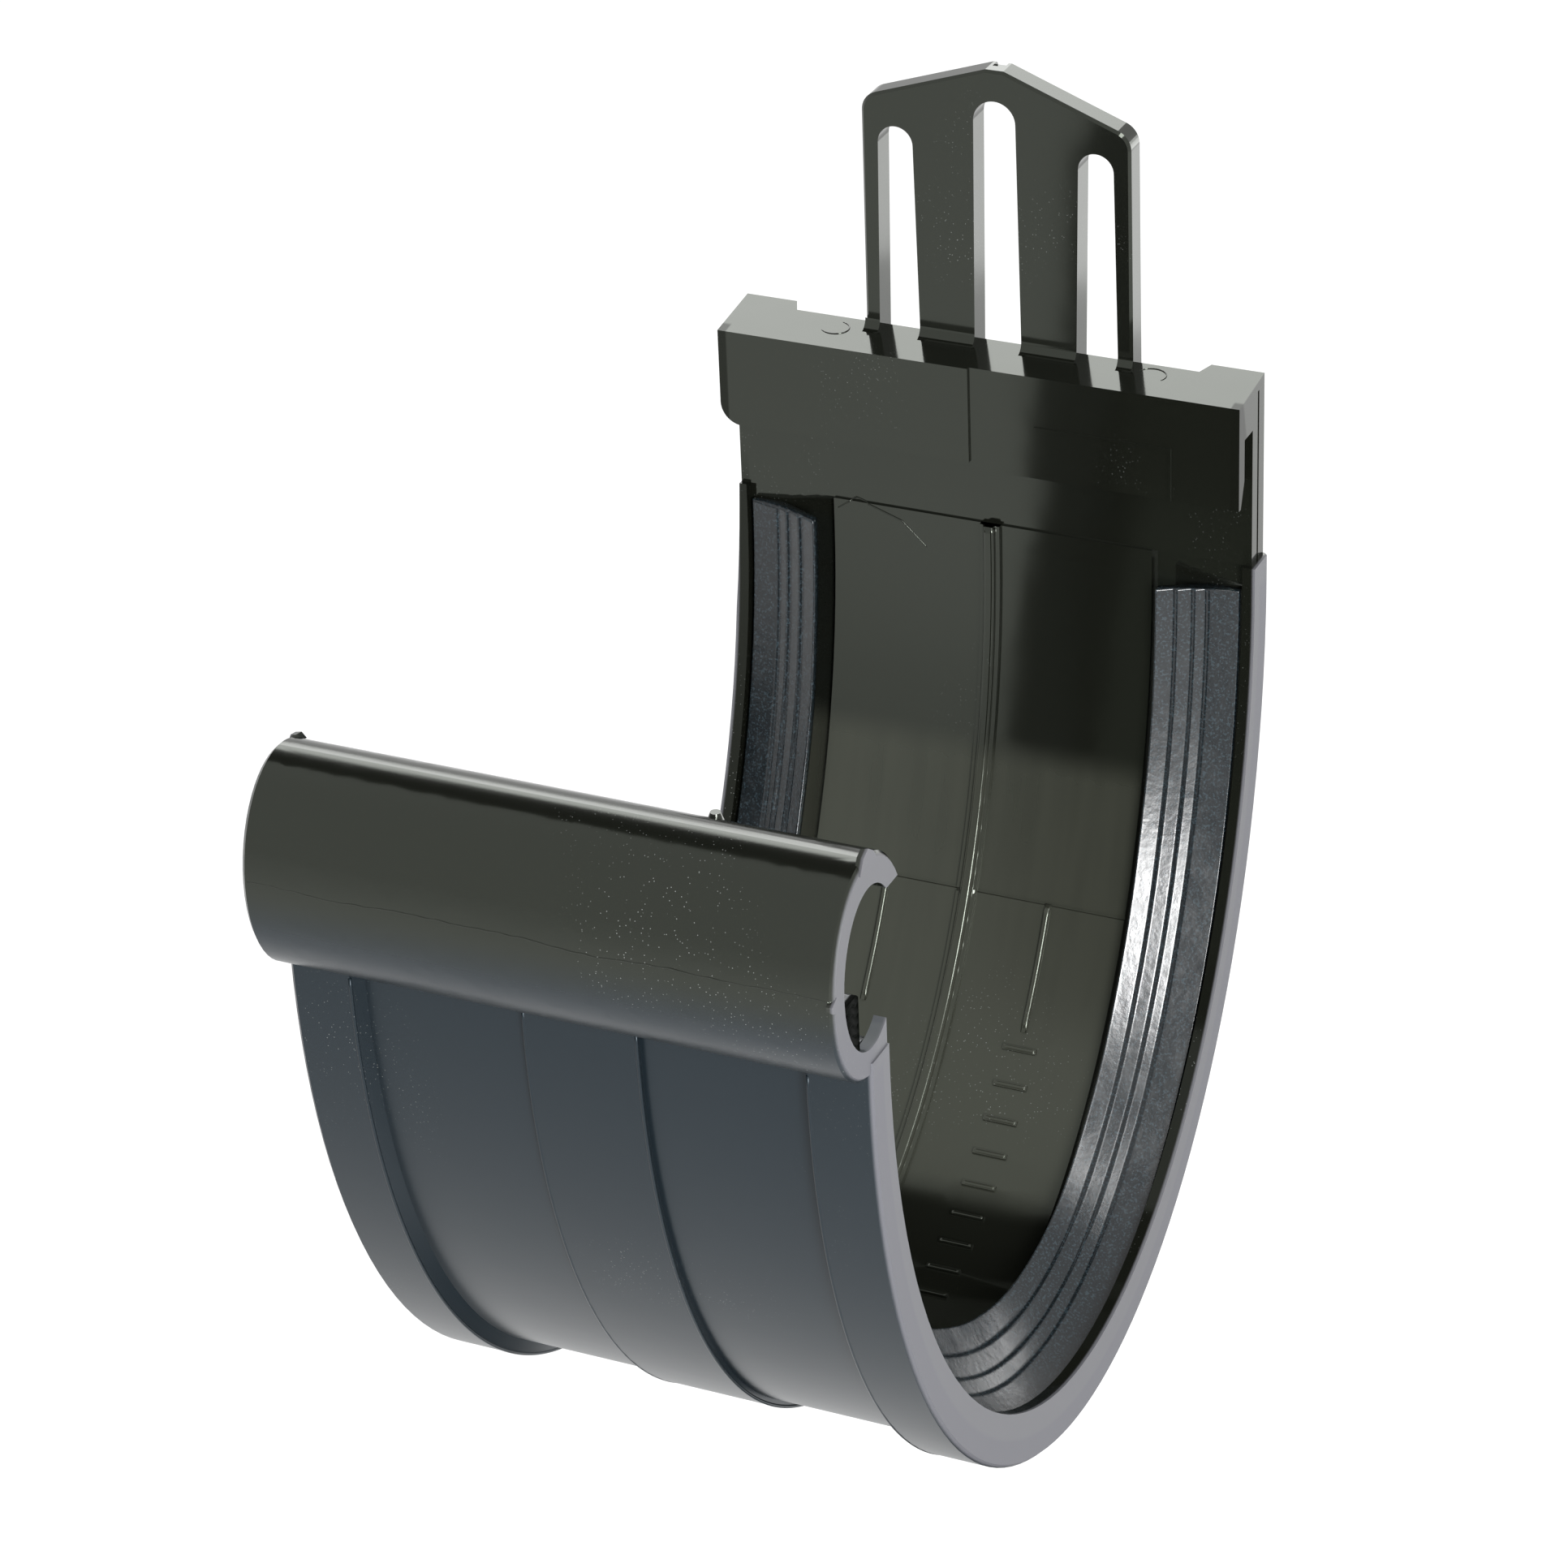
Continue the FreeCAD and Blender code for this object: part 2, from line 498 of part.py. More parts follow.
def clip_seat(side):
    """The groove's way on from the channel, over the clip's lower lip and into its bore."""
    half_width = CLIP_BORE_HALF_WIDTH + GROOVE_DEPTH
    half_height = CLIP_BORE_HALF_HEIGHT + GROOVE_DEPTH
    seat = oval_prism(CLIP_CENTRE_Y, CLIP_CENTRE_Z, half_width, half_height, GROOVE_INNER_EDGE,
                      GROOVE_OUTER_EDGE)
    seat_top = CLIP_CENTRE_Z + CLIP_SEAL_TOP + SEAL_CLEARANCE
    seat = seat.common(box(GROOVE_INNER_EDGE, GROOVE_OUTER_EDGE, CLIP_CENTRE_Y - half_width,
                           CLIP_CENTRE_Y + half_width, CLIP_CENTRE_Z - half_height, seat_top))
    lip = box(GROOVE_INNER_EDGE, GROOVE_OUTER_EDGE, -GROOVE_HALF_WIDTH, 0,
              CLIP_CENTRE_Z - CLIP_HALF_HEIGHT - 1, CLIP_CENTRE_Z)
    seat = seat.fuse(lip)
    if side < 0:
        seat = seat.mirror(point(0, 0, 0), point(1, 0, 0))
    return seat


def gate_nub():
    """Small stub left by the moulding gate on the clip's top edge."""
    y = CLIP_CENTRE_Y + GATE_NUB_OFFSET
    top = 2 * CLIP_CENTRE_Z - oval_floor(y, CLIP_HALF_WIDTH, CLIP_HALF_HEIGHT)
    return Part.makeCone(GATE_NUB_RADIUS, GATE_NUB_RADIUS / 2, 2 * GATE_NUB_HEIGHT,
                         point(GATE_NUB_X, y, top - GATE_NUB_HEIGHT))


def front_trim():
    """What is cut off the channel's front wall above the level where the clip starts."""
    return box(-HALF_LENGTH - 1, HALF_LENGTH + 1, -OUTER_HALF_WIDTH - 1, 0, FRONT_TOP, HOOK_TOP + BEYOND)


def union_body():
    """The whole moulding."""
    channel = channel_shell()
    channel = channel.multiFuse([centre_band(), end_band(-1), end_band(1), end_flange(-1), end_flange(1),
                                 centre_stop()])
    channel = channel.cut(front_trim()).cut(left_rim_ease())
    channel = channel.cut(seal_groove(-1)).cut(seal_groove(1)).cut(parting_line())
    body = channel.multiFuse([hook(), pads(), panel_line(), fixing_lug(), front_clip(), gate_nub()]
                             + raised_marks())
    body = body.cut(end_slit(-1)).cut(end_slit(1)).cut(clip_seat(-1)).cut(clip_seat(1))
    return body.removeSplitter()


def seal_top():
    """Upper outline of the seal as (distance from its outer edge, height), with three ribs."""
    rise = (SEAL_LIP_HEIGHT - SEAL_OUTER_HEIGHT) / SEAL_WIDTH
    smooth = SEAL_WIDTH * SMOOTH_SHARE
    pitch = (SEAL_WIDTH - smooth) / RIB_COUNT
    top = [(0.0, SEAL_OUTER_HEIGHT), (smooth, SEAL_OUTER_HEIGHT + rise * smooth)]
    for i in range(RIB_COUNT):
        start = smooth + i * pitch
        end = start + pitch
        top.append((start + RIB_NOTCH / 2, SEAL_OUTER_HEIGHT + rise * start - RIB_NOTCH))
        top.append((start + RIB_NOTCH, SEAL_OUTER_HEIGHT + rise * (start + RIB_NOTCH)))
        top.append((end - RIB_NOTCH / 2, SEAL_OUTER_HEIGHT + rise * end))
    return top


def flare_at(turn):
    """How far the lip's edge stands further in, at an angle round the channel."""
    if turn <= SEAL_FLARE_START:
        return 0.0
    if turn <= SEAL_FLARE_PLACE:
        share = (turn - SEAL_FLARE_START) / (SEAL_FLARE_PLACE - SEAL_FLARE_START)
    else:
        share = (180 - turn) / (180 - SEAL_FLARE_PLACE)
    return SEAL_FLARE * math.sin(share * math.pi / 2) ** 2


def seal_section(side, turn, level):
    """Cross-section of a seal, square to the groove at an angle round it, or at a level at the back."""
    outer = GROOVE_OUTER_EDGE - SEAL_END_GAP
    rise = (SEAL_LIP_HEIGHT - SEAL_OUTER_HEIGHT) / SEAL_WIDTH
    under = SEAL_LIP_HEIGHT - rise * RIB_NOTCH / 2 - SEAL_LIP_THICKNESS
    edge = (SEAL_WIDTH - RIB_NOTCH / 2, under)
    half_width = GROOVE_HALF_WIDTH - SEAL_CLEARANCE
    depth = GROOVE_FLOOR_DEPTH - SEAL_CLEARANCE
    y = half_width * math.cos(math.radians(turn))
    z = level - depth * math.sin(math.radians(turn))
    inward = point(0, -math.cos(math.radians(turn)) / half_width, math.sin(math.radians(turn)) / depth)
    inward.normalize()
    corners = [point(side * outer, y, z)]
    for x, h in seal_top() + [edge]:
        height = h + flare_at(turn) * (x / SEAL_WIDTH) ** SEAL_FLARE_CURVE
        corners.append(point(side * (outer - x), y, z) + inward * height)
    corners.append(point(side * (outer - SEAL_FOOT_WIDTH), y, z))
    return Part.makePolygon(corners + [corners[0]])


def seal_lip(side, top):
    """The ribbed lip, carried round the groove from the back to the front, flared at the bottom."""
    arc = lower_half_oval(GROOVE_HALF_WIDTH - SEAL_CLEARANCE, GROOVE_FLOOR_DEPTH - SEAL_CLEARANCE, 0)
    back = max((v.Point for v in arc.Vertexes), key=lambda p: p.y)
    start = point(0, back.y, GROOVE_TOP)
    path = Part.Wire(Part.__sortEdges__([Part.makeLine(start, back), arc]))
    pipe = Part.BRepOffsetAPI.MakePipeShell(path)
    pipe.setBiNormalMode(point(1, 0, 0))
    pipe.add(seal_section(side, 0, GROOVE_TOP))
    for i in range(SEAL_FLARE_STEPS + 1):
        pipe.add(seal_section(side, 180 * i / SEAL_FLARE_STEPS, 0))
    pipe.build()
    pipe.makeSolid()
    lip = pipe.shape()
    above = box(-HALF_LENGTH, HALF_LENGTH, 0, OUTER_HALF_WIDTH, top, GROOVE_TOP + 1)
    front = box(-HALF_LENGTH, HALF_LENGTH, -OUTER_HALF_WIDTH, 0, SEAL_FRONT_END, GROOVE_TOP + 1)
    return lip.cut(above).cut(front)


def clip_plug_end():
    """The plug's outer end, which lies in the plain bore beyond the seat."""
    half_width = CLIP_BORE_HALF_WIDTH - SEAL_CLEARANCE
    half_height = CLIP_BORE_HALF_HEIGHT - SEAL_CLEARANCE
    inner = GROOVE_INNER_EDGE + SEAL_CLEARANCE
    outer = CLIP_HALF_LENGTH - CLIP_SEAL_SHORT
    filled = oval_prism(CLIP_CENTRE_Y, CLIP_CENTRE_Z, half_width, half_height, inner, outer)
    return filled.common(box(inner, outer, CLIP_CENTRE_Y - half_width,
                             CLIP_CENTRE_Y - CLIP_BORE_HALF_WIDTH + CLIP_SEAL_PLUG,
                             CLIP_CENTRE_Z - half_height, CLIP_CENTRE_Z + CLIP_SEAL_TOP))


def clip_strip(side):
    """The seal's flat tail, which runs on over the clip's lower lip and swells inside the clip."""
    outer = GROOVE_OUTER_EDGE - SEAL_CLEARANCE
    inner = GROOVE_INNER_EDGE + SEAL_CLEARANCE
    half_width = CLIP_BORE_HALF_WIDTH + GROOVE_DEPTH - SEAL_CLEARANCE
    half_height = CLIP_BORE_HALF_HEIGHT + GROOVE_DEPTH - SEAL_CLEARANCE
    filled = oval_prism(CLIP_CENTRE_Y, CLIP_CENTRE_Z, half_width, half_height, inner, outer)
    bore = oval_prism(CLIP_CENTRE_Y, CLIP_CENTRE_Z, CLIP_BORE_HALF_WIDTH, CLIP_BORE_HALF_HEIGHT,
                      inner - 1, outer + 1)
    front = CLIP_CENTRE_Y - CLIP_BORE_HALF_WIDTH
    plug = box(inner, outer, CLIP_CENTRE_Y - half_width, front + CLIP_SEAL_PLUG,
               CLIP_CENTRE_Z - half_height, CLIP_CENTRE_Z + CLIP_SEAL_TOP)
    floor = box(inner, outer, CLIP_CENTRE_Y - half_width, CLIP_MOUTH_Y, CLIP_CENTRE_Z - half_height,
                CLIP_CENTRE_Z + CLIP_SEAL_TOP)
    lip_top = oval_floor(CLIP_MOUTH_Y, CLIP_BORE_HALF_WIDTH, CLIP_BORE_HALF_HEIGHT)
    riser = box(inner, outer, -GROOVE_HALF_WIDTH + SEAL_CLEARANCE, CLIP_MOUTH_Y,
                SEAL_FRONT_END - SEAL_TAIL_DROP, lip_top)
    strip = filled.common(plug).fuse(filled.common(floor).cut(bore)).fuse(riser)
    strip = strip.fuse(clip_plug_end())
    if side < 0:
        strip = strip.mirror(point(0, 0, 0), point(1, 0, 0))
    return strip


def union_seal(side, top):
    """One seal: ribbed lip and flat tail in one strip of rubber."""
    return seal_lip(side, top).fuse(clip_strip(side)).removeSplitter()


os.makedirs("parts", exist_ok=True)
nodes = {
    "union_body": union_body(),
    "seal_left": union_seal(-1, SEAL_LEFT_TOP),
    "seal_right": union_seal(1, SEAL_RIGHT_TOP),
}
for name, shape in nodes.items():
    if shape.ShapeType != "Solid" and len(shape.Solids) == 1:
        shape = shape.Solids[0]
    shape.exportStep("parts/" + name + ".step")
    size = shape.optimalBoundingBox()
    print(name, shape.ShapeType, "valid", shape.isValid(), "solids", len(shape.Solids),
          "volume", round(shape.Volume), "size", round(size.XLength, 2), round(size.YLength, 2),
          round(size.ZLength, 2))
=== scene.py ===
# %% [markdown]
# # Gutter union
#
# A gutter union joins two lengths of rainwater gutter. It is one black PVC moulding with two rubber
# seals. The moulding comes from the CAD model and keeps its shape here. This file gives it the gloss
# of injection-moulded plastic, makes the two ribbed seals as new meshes, adds the small marks that
# moulding leaves, and sets up the camera and a plain studio.

# %% Load the frame
import bpy
import math
import numpy as np
from mathutils import Matrix


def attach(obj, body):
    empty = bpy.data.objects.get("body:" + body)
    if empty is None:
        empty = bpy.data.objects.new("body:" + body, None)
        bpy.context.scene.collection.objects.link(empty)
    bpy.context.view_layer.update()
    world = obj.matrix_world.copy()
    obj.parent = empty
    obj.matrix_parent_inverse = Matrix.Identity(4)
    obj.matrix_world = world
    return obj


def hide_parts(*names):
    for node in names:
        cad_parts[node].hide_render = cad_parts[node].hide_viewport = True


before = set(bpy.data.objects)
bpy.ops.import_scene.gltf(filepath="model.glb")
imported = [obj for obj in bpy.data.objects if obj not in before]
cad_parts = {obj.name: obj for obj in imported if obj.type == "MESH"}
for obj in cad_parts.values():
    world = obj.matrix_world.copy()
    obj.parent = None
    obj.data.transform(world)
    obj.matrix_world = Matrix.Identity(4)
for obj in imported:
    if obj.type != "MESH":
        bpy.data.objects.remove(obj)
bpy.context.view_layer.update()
MM = 0.001
print("nodes:", sorted(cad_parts))

# %% [markdown]
# ## Camera
#
# The camera stands to the right of the union, a little above it, and looks down into the channel.
# Its place, turn and lens come from a fit of the union's own edges to the photograph, so that they
# are real sizes in the union's frame. A rotation matrix is built from three directions: to the
# right, up, and back from the picture.

# %% Camera
CAMERA_PLACE = (239.44, -510.12, 312.79)
CAMERA_AZIMUTH = 25.42
CAMERA_ELEVATION = 29.34
CAMERA_ROLL = -2.32
CAMERA_LENS = 123.47
SENSOR_WIDTH = 36.0
CAMERA_REACH = 20.0           # metres, past the far edge of the floor that the picture shows


def camera_axes(azimuth, elevation, roll):
    """Right, up and forward directions of a camera, from three angles in degrees."""
    azimuth, elevation, roll = (math.radians(angle) for angle in (azimuth, elevation, roll))
    forward = np.array((-math.sin(azimuth) * math.cos(elevation), math.cos(azimuth) * math.cos(elevation),
                        -math.sin(elevation)))
    level = np.array((math.cos(azimuth), math.sin(azimuth), 0.0))
    upright = np.cross(level, forward)
    right = level * math.cos(roll) + upright * math.sin(roll)
    up = upright * math.cos(roll) - level * math.sin(roll)
    return right, up, forward


right, up, forward = camera_axes(CAMERA_AZIMUTH, CAMERA_ELEVATION, CAMERA_ROLL)
camera_data = bpy.data.cameras.new("camera")
camera_data.lens = CAMERA_LENS
camera_data.sensor_width = SENSOR_WIDTH
camera_data.clip_end = CAMERA_REACH
camera = bpy.data.objects.new("camera", camera_data)
bpy.context.scene.collection.objects.link(camera)
turn = Matrix(np.column_stack((right, up, -forward)).tolist()).to_4x4()
camera.matrix_world = Matrix.Translation([v * MM for v in CAMERA_PLACE]) @ turn
bpy.context.scene.camera = camera
print("camera distance from the origin, mm:", round(math.dist(CAMERA_PLACE, (0, 0, 0)), 1))

# %% [markdown]
# ## Tools for materials
#
# Blender's colours are linear, while a colour given here is an sRGB hex value. One function turns
# the one into the other. A second adds a node with its settings and links in one call, so that a
# material reads from top to bottom like a recipe.

# %% Colour and node helpers


def linear(hex_colour):
    """sRGB hex to linear: divide by 12.92 below 0.04045, else ((c + 0.055) / 1.055) to the power 2.4."""
    srgb = np.array([int(hex_colour[i:i + 2], 16) / 255 for i in (1, 3, 5)])
    flat = np.where(srgb <= 0.04045, srgb / 12.92, ((srgb + 0.055) / 1.055) ** 2.4)
    return (*flat.tolist(), 1.0)


def add_node(tree, kind, settings=None, inputs=None):
    """Adds a node, sets its properties, and fills each input with a value or a link from a socket."""
    node = tree.nodes.new(kind)
    for name, value in (settings or {}).items():
        setattr(node, name, value)
    for name, value in (inputs or {}).items():
        if isinstance(value, bpy.types.NodeSocket):
            tree.links.new(value, node.inputs[name])
        else:
            node.inputs[name].default_value = value
    return node


def new_material(name):
    """A material with an empty node tree and its output."""
    material = bpy.data.materials.new(name)
    material.use_nodes = True
    material.node_tree.nodes.clear()
    output = add_node(material.node_tree, "ShaderNodeOutputMaterial")
    return material, material.node_tree, output


print("mid grey #808080 as linear light:", round(linear("#808080")[0], 3))

# %% [markdown]
# ## Black PVC moulding
#
# Gutter fittings are injection moulded from PVC coloured with carbon black. The polished mould gives
# a gloss skin, and what the eye sees is mostly reflection: very little light comes back from the
# black itself. The outside of the channel is painted a little blue, in its colour and in the tint of
# its gloss, as a painted reflection of cool light; the inside and the clip are a warmer black. The end
# faces are satin where the mould closes on them, and their paler grey is painted light from the right.
# Which is which follows from the place on the part, so the masks are worked out from Object coordinates.

# %% Node sums


def math_node(tree, operation, first, second=0.0, third=0.0):
    """One sum, of values or sockets."""
    node = add_node(tree, "ShaderNodeMath", {"operation": operation}, {0: first, 1: second, 2: third})
    return node.outputs[0]


def fade(tree, value, low, high):
    """A share that goes smoothly from 0 to 1 while the value goes from low to high."""
    return add_node(tree, "ShaderNodeMapRange", {"interpolation_type": "SMOOTHSTEP"},
                    {"Value": value, "From Min": low, "From Max": high}).outputs["Result"]


def millimetres(tree):
    """The place in the part's own frame, as three sockets in millimetres."""
    place = add_node(tree, "ShaderNodeTexCoord").outputs["Object"]
    scaled = add_node(tree, "ShaderNodeVectorMath", {"operation": "SCALE"}, {0: place, "Scale": 1 / MM})
    axes = add_node(tree, "ShaderNodeSeparateXYZ", inputs={0: scaled.outputs["Vector"]})
    return place, axes.outputs["X"], axes.outputs["Y"], axes.outputs["Z"]


def blend(tree, share, first, second):
    """A colour or value between two, by a share."""
    kind = "RGBA" if isinstance(first, tuple) or getattr(first, "type", "") == "RGBA" else "FLOAT"
    node = add_node(tree, "ShaderNodeMix", {"data_type": kind})
    ending = "Float" if kind == "FLOAT" else "Color"
    sockets = {s.identifier: s for s in node.inputs}
    for name, value in zip(("Factor_Float", "A_" + ending, "B_" + ending), (share, first, second)):
        if isinstance(value, bpy.types.NodeSocket):
            tree.links.new(value, sockets[name])
        else:
            sockets[name].default_value = value
    return next(s for s in node.outputs if s.identifier.endswith(ending))


# %% Masks by place
SHELL_MIDDLE = (59.8, 82.0)   # half width and depth of an oval in the middle of the channel's wall
END_FACE = 35.45              # past this from the middle, a face is an end face
FLANGE_EDGE = 34.0            # inner side of the end flanges
CLIP_BEHIND = -57.0           # the clip lies in front of this
PAINTED_BAND_LEVELS = (-25.0, -74.5)  # painted light: a paler, duller band between these levels inside the channel; its top edge is where the reflected dark front wall ends
BORE_MIDDLE = (-60.6, 5.2)    # y and z of a patch on the lower lip inside the clip, painted paler as painted light

moulded, tree, output = new_material("injection_moulded_black_pvc")
place, x, y, z = millimetres(tree)
across = math_node(tree, "DIVIDE", y, SHELL_MIDDLE[0])
down = math_node(tree, "DIVIDE", z, SHELL_MIDDLE[1])
across_squared = math_node(tree, "MULTIPLY", across, across)
oval = math_node(tree, "MULTIPLY_ADD", down, down, across_squared)
below = fade(tree, z, 1.0, -1.0)
outside = math_node(tree, "MULTIPLY", fade(tree, oval, 0.99, 1.01), below)
under_clip = math_node(tree, "MULTIPLY", fade(tree, y, -60.0, -63.0), fade(tree, z, 14.0, 6.0))
outside = math_node(tree, "MAXIMUM", outside, under_clip)
upper = fade(tree, z, PAINTED_BAND_LEVELS[0], PAINTED_BAND_LEVELS[0] - 5)
lower = fade(tree, z, PAINTED_BAND_LEVELS[1] - 1.5, PAINTED_BAND_LEVELS[1] + 1.5)
painted_pale_band = math_node(tree, "MULTIPLY", fade(tree, oval, 1.01, 0.99), upper)
painted_pale_band = math_node(tree, "MULTIPLY", painted_pale_band, lower)
from_middle = math_node(tree, "ABSOLUTE", x)
end_face = fade(tree, from_middle, END_FACE, END_FACE + 0.4)
flange = math_node(tree, "MULTIPLY", fade(tree, from_middle, FLANGE_EDGE, FLANGE_EDGE + 0.3),
                   fade(tree, oval, 0.98, 0.96))
painted_pale_band = math_node(tree, "MULTIPLY", painted_pale_band, fade(tree, from_middle, FLANGE_EDGE + 0.3, FLANGE_EDGE))
off_lip = math_node(tree, "ABSOLUTE", math_node(tree, "SUBTRACT", y, BORE_MIDDLE[0]))
off_level = math_node(tree, "ABSOLUTE", math_node(tree, "SUBTRACT", z, BORE_MIDDLE[1]))
painted_pale_bore = math_node(tree, "MULTIPLY", fade(tree, off_lip, 2.8, 2.4), fade(tree, off_level, 2.9, 2.5))
clip = fade(tree, y, CLIP_BEHIND, CLIP_BEHIND - 2)
print("nodes for the masks:", len(tree.nodes))

# %% Specks, and a painted pale band in streaks
SPECK_SCALE = 1900.0          # cells per metre, so a speck every half millimetre at most
CLUSTER_SCALE = 38.0          # clusters of specks about 25 mm apart
CLOUD_SCALE = 26.0            # clouds in the film about 40 mm apart
STREAK_SCALES = (400.0, 30.0, 30.0)   # streaks 2.5 mm wide that run round the channel

specks = add_node(tree, "ShaderNodeTexVoronoi",
                  inputs={"Vector": place, "Scale": SPECK_SCALE, "Randomness": 1.0})
clusters = add_node(tree, "ShaderNodeTexNoise",
                    inputs={"Vector": place, "Scale": CLUSTER_SCALE, "Detail": 2.0})
speck = math_node(tree, "MULTIPLY", fade(tree, specks.outputs["Distance"], 0.15, 0.07),
                  fade(tree, clusters.outputs["Fac"], 0.54, 0.72))
cloud = add_node(tree, "ShaderNodeTexNoise",
                 inputs={"Vector": place, "Scale": CLOUD_SCALE, "Detail": 3.0})
streaks = add_node(tree, "ShaderNodeVectorMath", {"operation": "MULTIPLY"},
                   {0: place, 1: STREAK_SCALES})
streak = add_node(tree, "ShaderNodeTexNoise",
                  inputs={"Vector": streaks.outputs["Vector"], "Scale": 1.0})
patchy = math_node(tree, "MULTIPLY_ADD", streak.outputs["Fac"], 0.5, 0.3)
patchy = math_node(tree, "MULTIPLY_ADD", cloud.outputs["Fac"], 0.9, patchy)
streaky_painted_band = math_node(tree, "MULTIPLY", painted_pale_band, patchy)
print("nodes with the film:", len(tree.nodes))

# %% Colour, roughness and gloss
PVC_IOR = 1.53
# Painted reflection: the blue in the outside's colour stands in for cool light that it mirrors.
skin = blend(tree, outside, linear("#0b0c09"), linear("#10161a"))
# Painted light: the pale band stands in for brighter reflections low in the channel.
skin = blend(tree, streaky_painted_band, skin, linear("#21221d"))
# Painted light: the patch in the bore is painted paler, lifting a dark reflection there.
skin = blend(tree, painted_pale_bore, skin, linear("#35373a"))
# Painted light: the end faces are painted paler grey for the light that falls on them from the right.
skin = blend(tree, end_face, skin, linear("#49494d"))
skin = blend(tree, speck, skin, linear("#585b59"))
# Painted reflection colour: the gloss is tinted blue on the outside and faintly green, an olive sheen,
# elsewhere.
tint = blend(tree, outside, linear("#f6fff0"), linear("#abb6be"))
rough = blend(tree, clip, 0.09, 0.16)
rough = blend(tree, outside, rough, 0.3)
rough = blend(tree, painted_pale_band, rough, 0.24)
rough = blend(tree, painted_pale_bore, rough, 0.6)
rough = blend(tree, end_face, rough, 0.5)
gloss = blend(tree, painted_pale_band, 0.5, 0.44)
gloss = blend(tree, flange, gloss, 0.2)
gloss = blend(tree, end_face, gloss, 0.28)
ripple = add_node(tree, "ShaderNodeTexNoise", inputs={"Vector": place, "Scale": 60.0, "Detail": 2.0})
wave = add_node(tree, "ShaderNodeBump", inputs={"Strength": 0.05, "Distance": 0.001,
                                                "Height": ripple.outputs["Fac"]})
shader = add_node(tree, "ShaderNodeBsdfPrincipled",
                  inputs={"Base Color": skin, "Roughness": rough, "IOR": PVC_IOR,
                          "Specular IOR Level": gloss, "Specular Tint": tint,
                          "Normal": wave.outputs["Normal"]})
tree.links.new(shader.outputs["BSDF"], output.inputs["Surface"])
for name in ("union_body", "seal_left", "seal_right"):
    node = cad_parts[name]
    node.data.materials.clear()
    node.data.materials.append(moulded)
print("nodes in the moulding's material:", len(tree.nodes))

# %% [markdown]
# ## Rubber seals
#
# Each seal is one strip of extruded EPDM rubber, pressed into a groove that runs round the channel,
# over the clip's lower lip and up inside the clip. Its outer side is smooth. Its inner side has
# three barbs that lean against the gutter, and the last one ends in a free edge over a gap.
#
# The strip is a section carried along a path, like the extrusion itself. The section gives a height
# over the groove's floor for each distance from the outer edge. The path is an upright line at the
# back, a half oval, an upright line over the lip, and an oval inside the clip. Every row of the mesh
# is the section, set square to the path.

# %% Seal sizes from the CAD model
GROOVE_CLEARANCE = 0.15
SEAL_EDGE = 33.8              # outer edge, from the middle of the union
SEAL_WIDTH = 10.2
SEAL_TOPS = {"seal_left": 1.0, "seal_right": -0.4}
CLIP_CENTRE = (-61.9, 13.1)
CLIP_SEAT = (8.1 - GROOVE_CLEARANCE, 11.0 - GROOVE_CLEARANCE)
LIP_TIP = -59.6               # y of the tip of the clip's lower lip
LIP_LEVEL = 3.0               # and its z
LIP_SHARE = 0.26              # share of the strip's height that is left over that lip


def node_box(name):
    """Lowest and highest corner of a node in millimetres."""
    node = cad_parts[name]
    corners = np.empty(len(node.data.vertices) * 3)
    node.data.vertices.foreach_get("co", corners)
    corners = corners.reshape(-1, 3) / MM
    return corners.min(axis=0), corners.max(axis=0)


seal_low, seal_high = node_box("seal_right")
FLOOR_WIDTH = seal_high[1]    # half width of the groove's floor, less the clearance
FLOOR_DEPTH = -seal_low[2]
print("groove floor: half width", round(FLOOR_WIDTH, 2), "depth", round(FLOOR_DEPTH, 2))
print("seal ends inside the clip at z", round(seal_high[2], 2))

# %% Section of the seal
SMOOTH_WIDTH = 3.9            # the smooth side, before the first barb
BARB_ENDS = (5.6, 7.7, SEAL_WIDTH)
OUTER_HEIGHT = 0.9
SMOOTH_HEIGHT = 1.75
LIP_HEIGHT = 4.2
FIRST_DROP = 0.2
NOTCH_DEPTH = 0.36
NOTCH_WIDTH = 0.3
LIP_THICKNESS = 1.3
FOOT_WIDTH = 4.2
SECTION_STEP = 0.1            # between points of the section's top
ROUNDING_POINTS = 5           # points in the moving average that rounds the crests
FLARE = 6.5                   # the lip's edge stands this much further in where it flares most
FLARE_TURNS = (58.0, 115.0)   # where the flare starts, and where it is greatest
FLARE_CURVE = 1.3


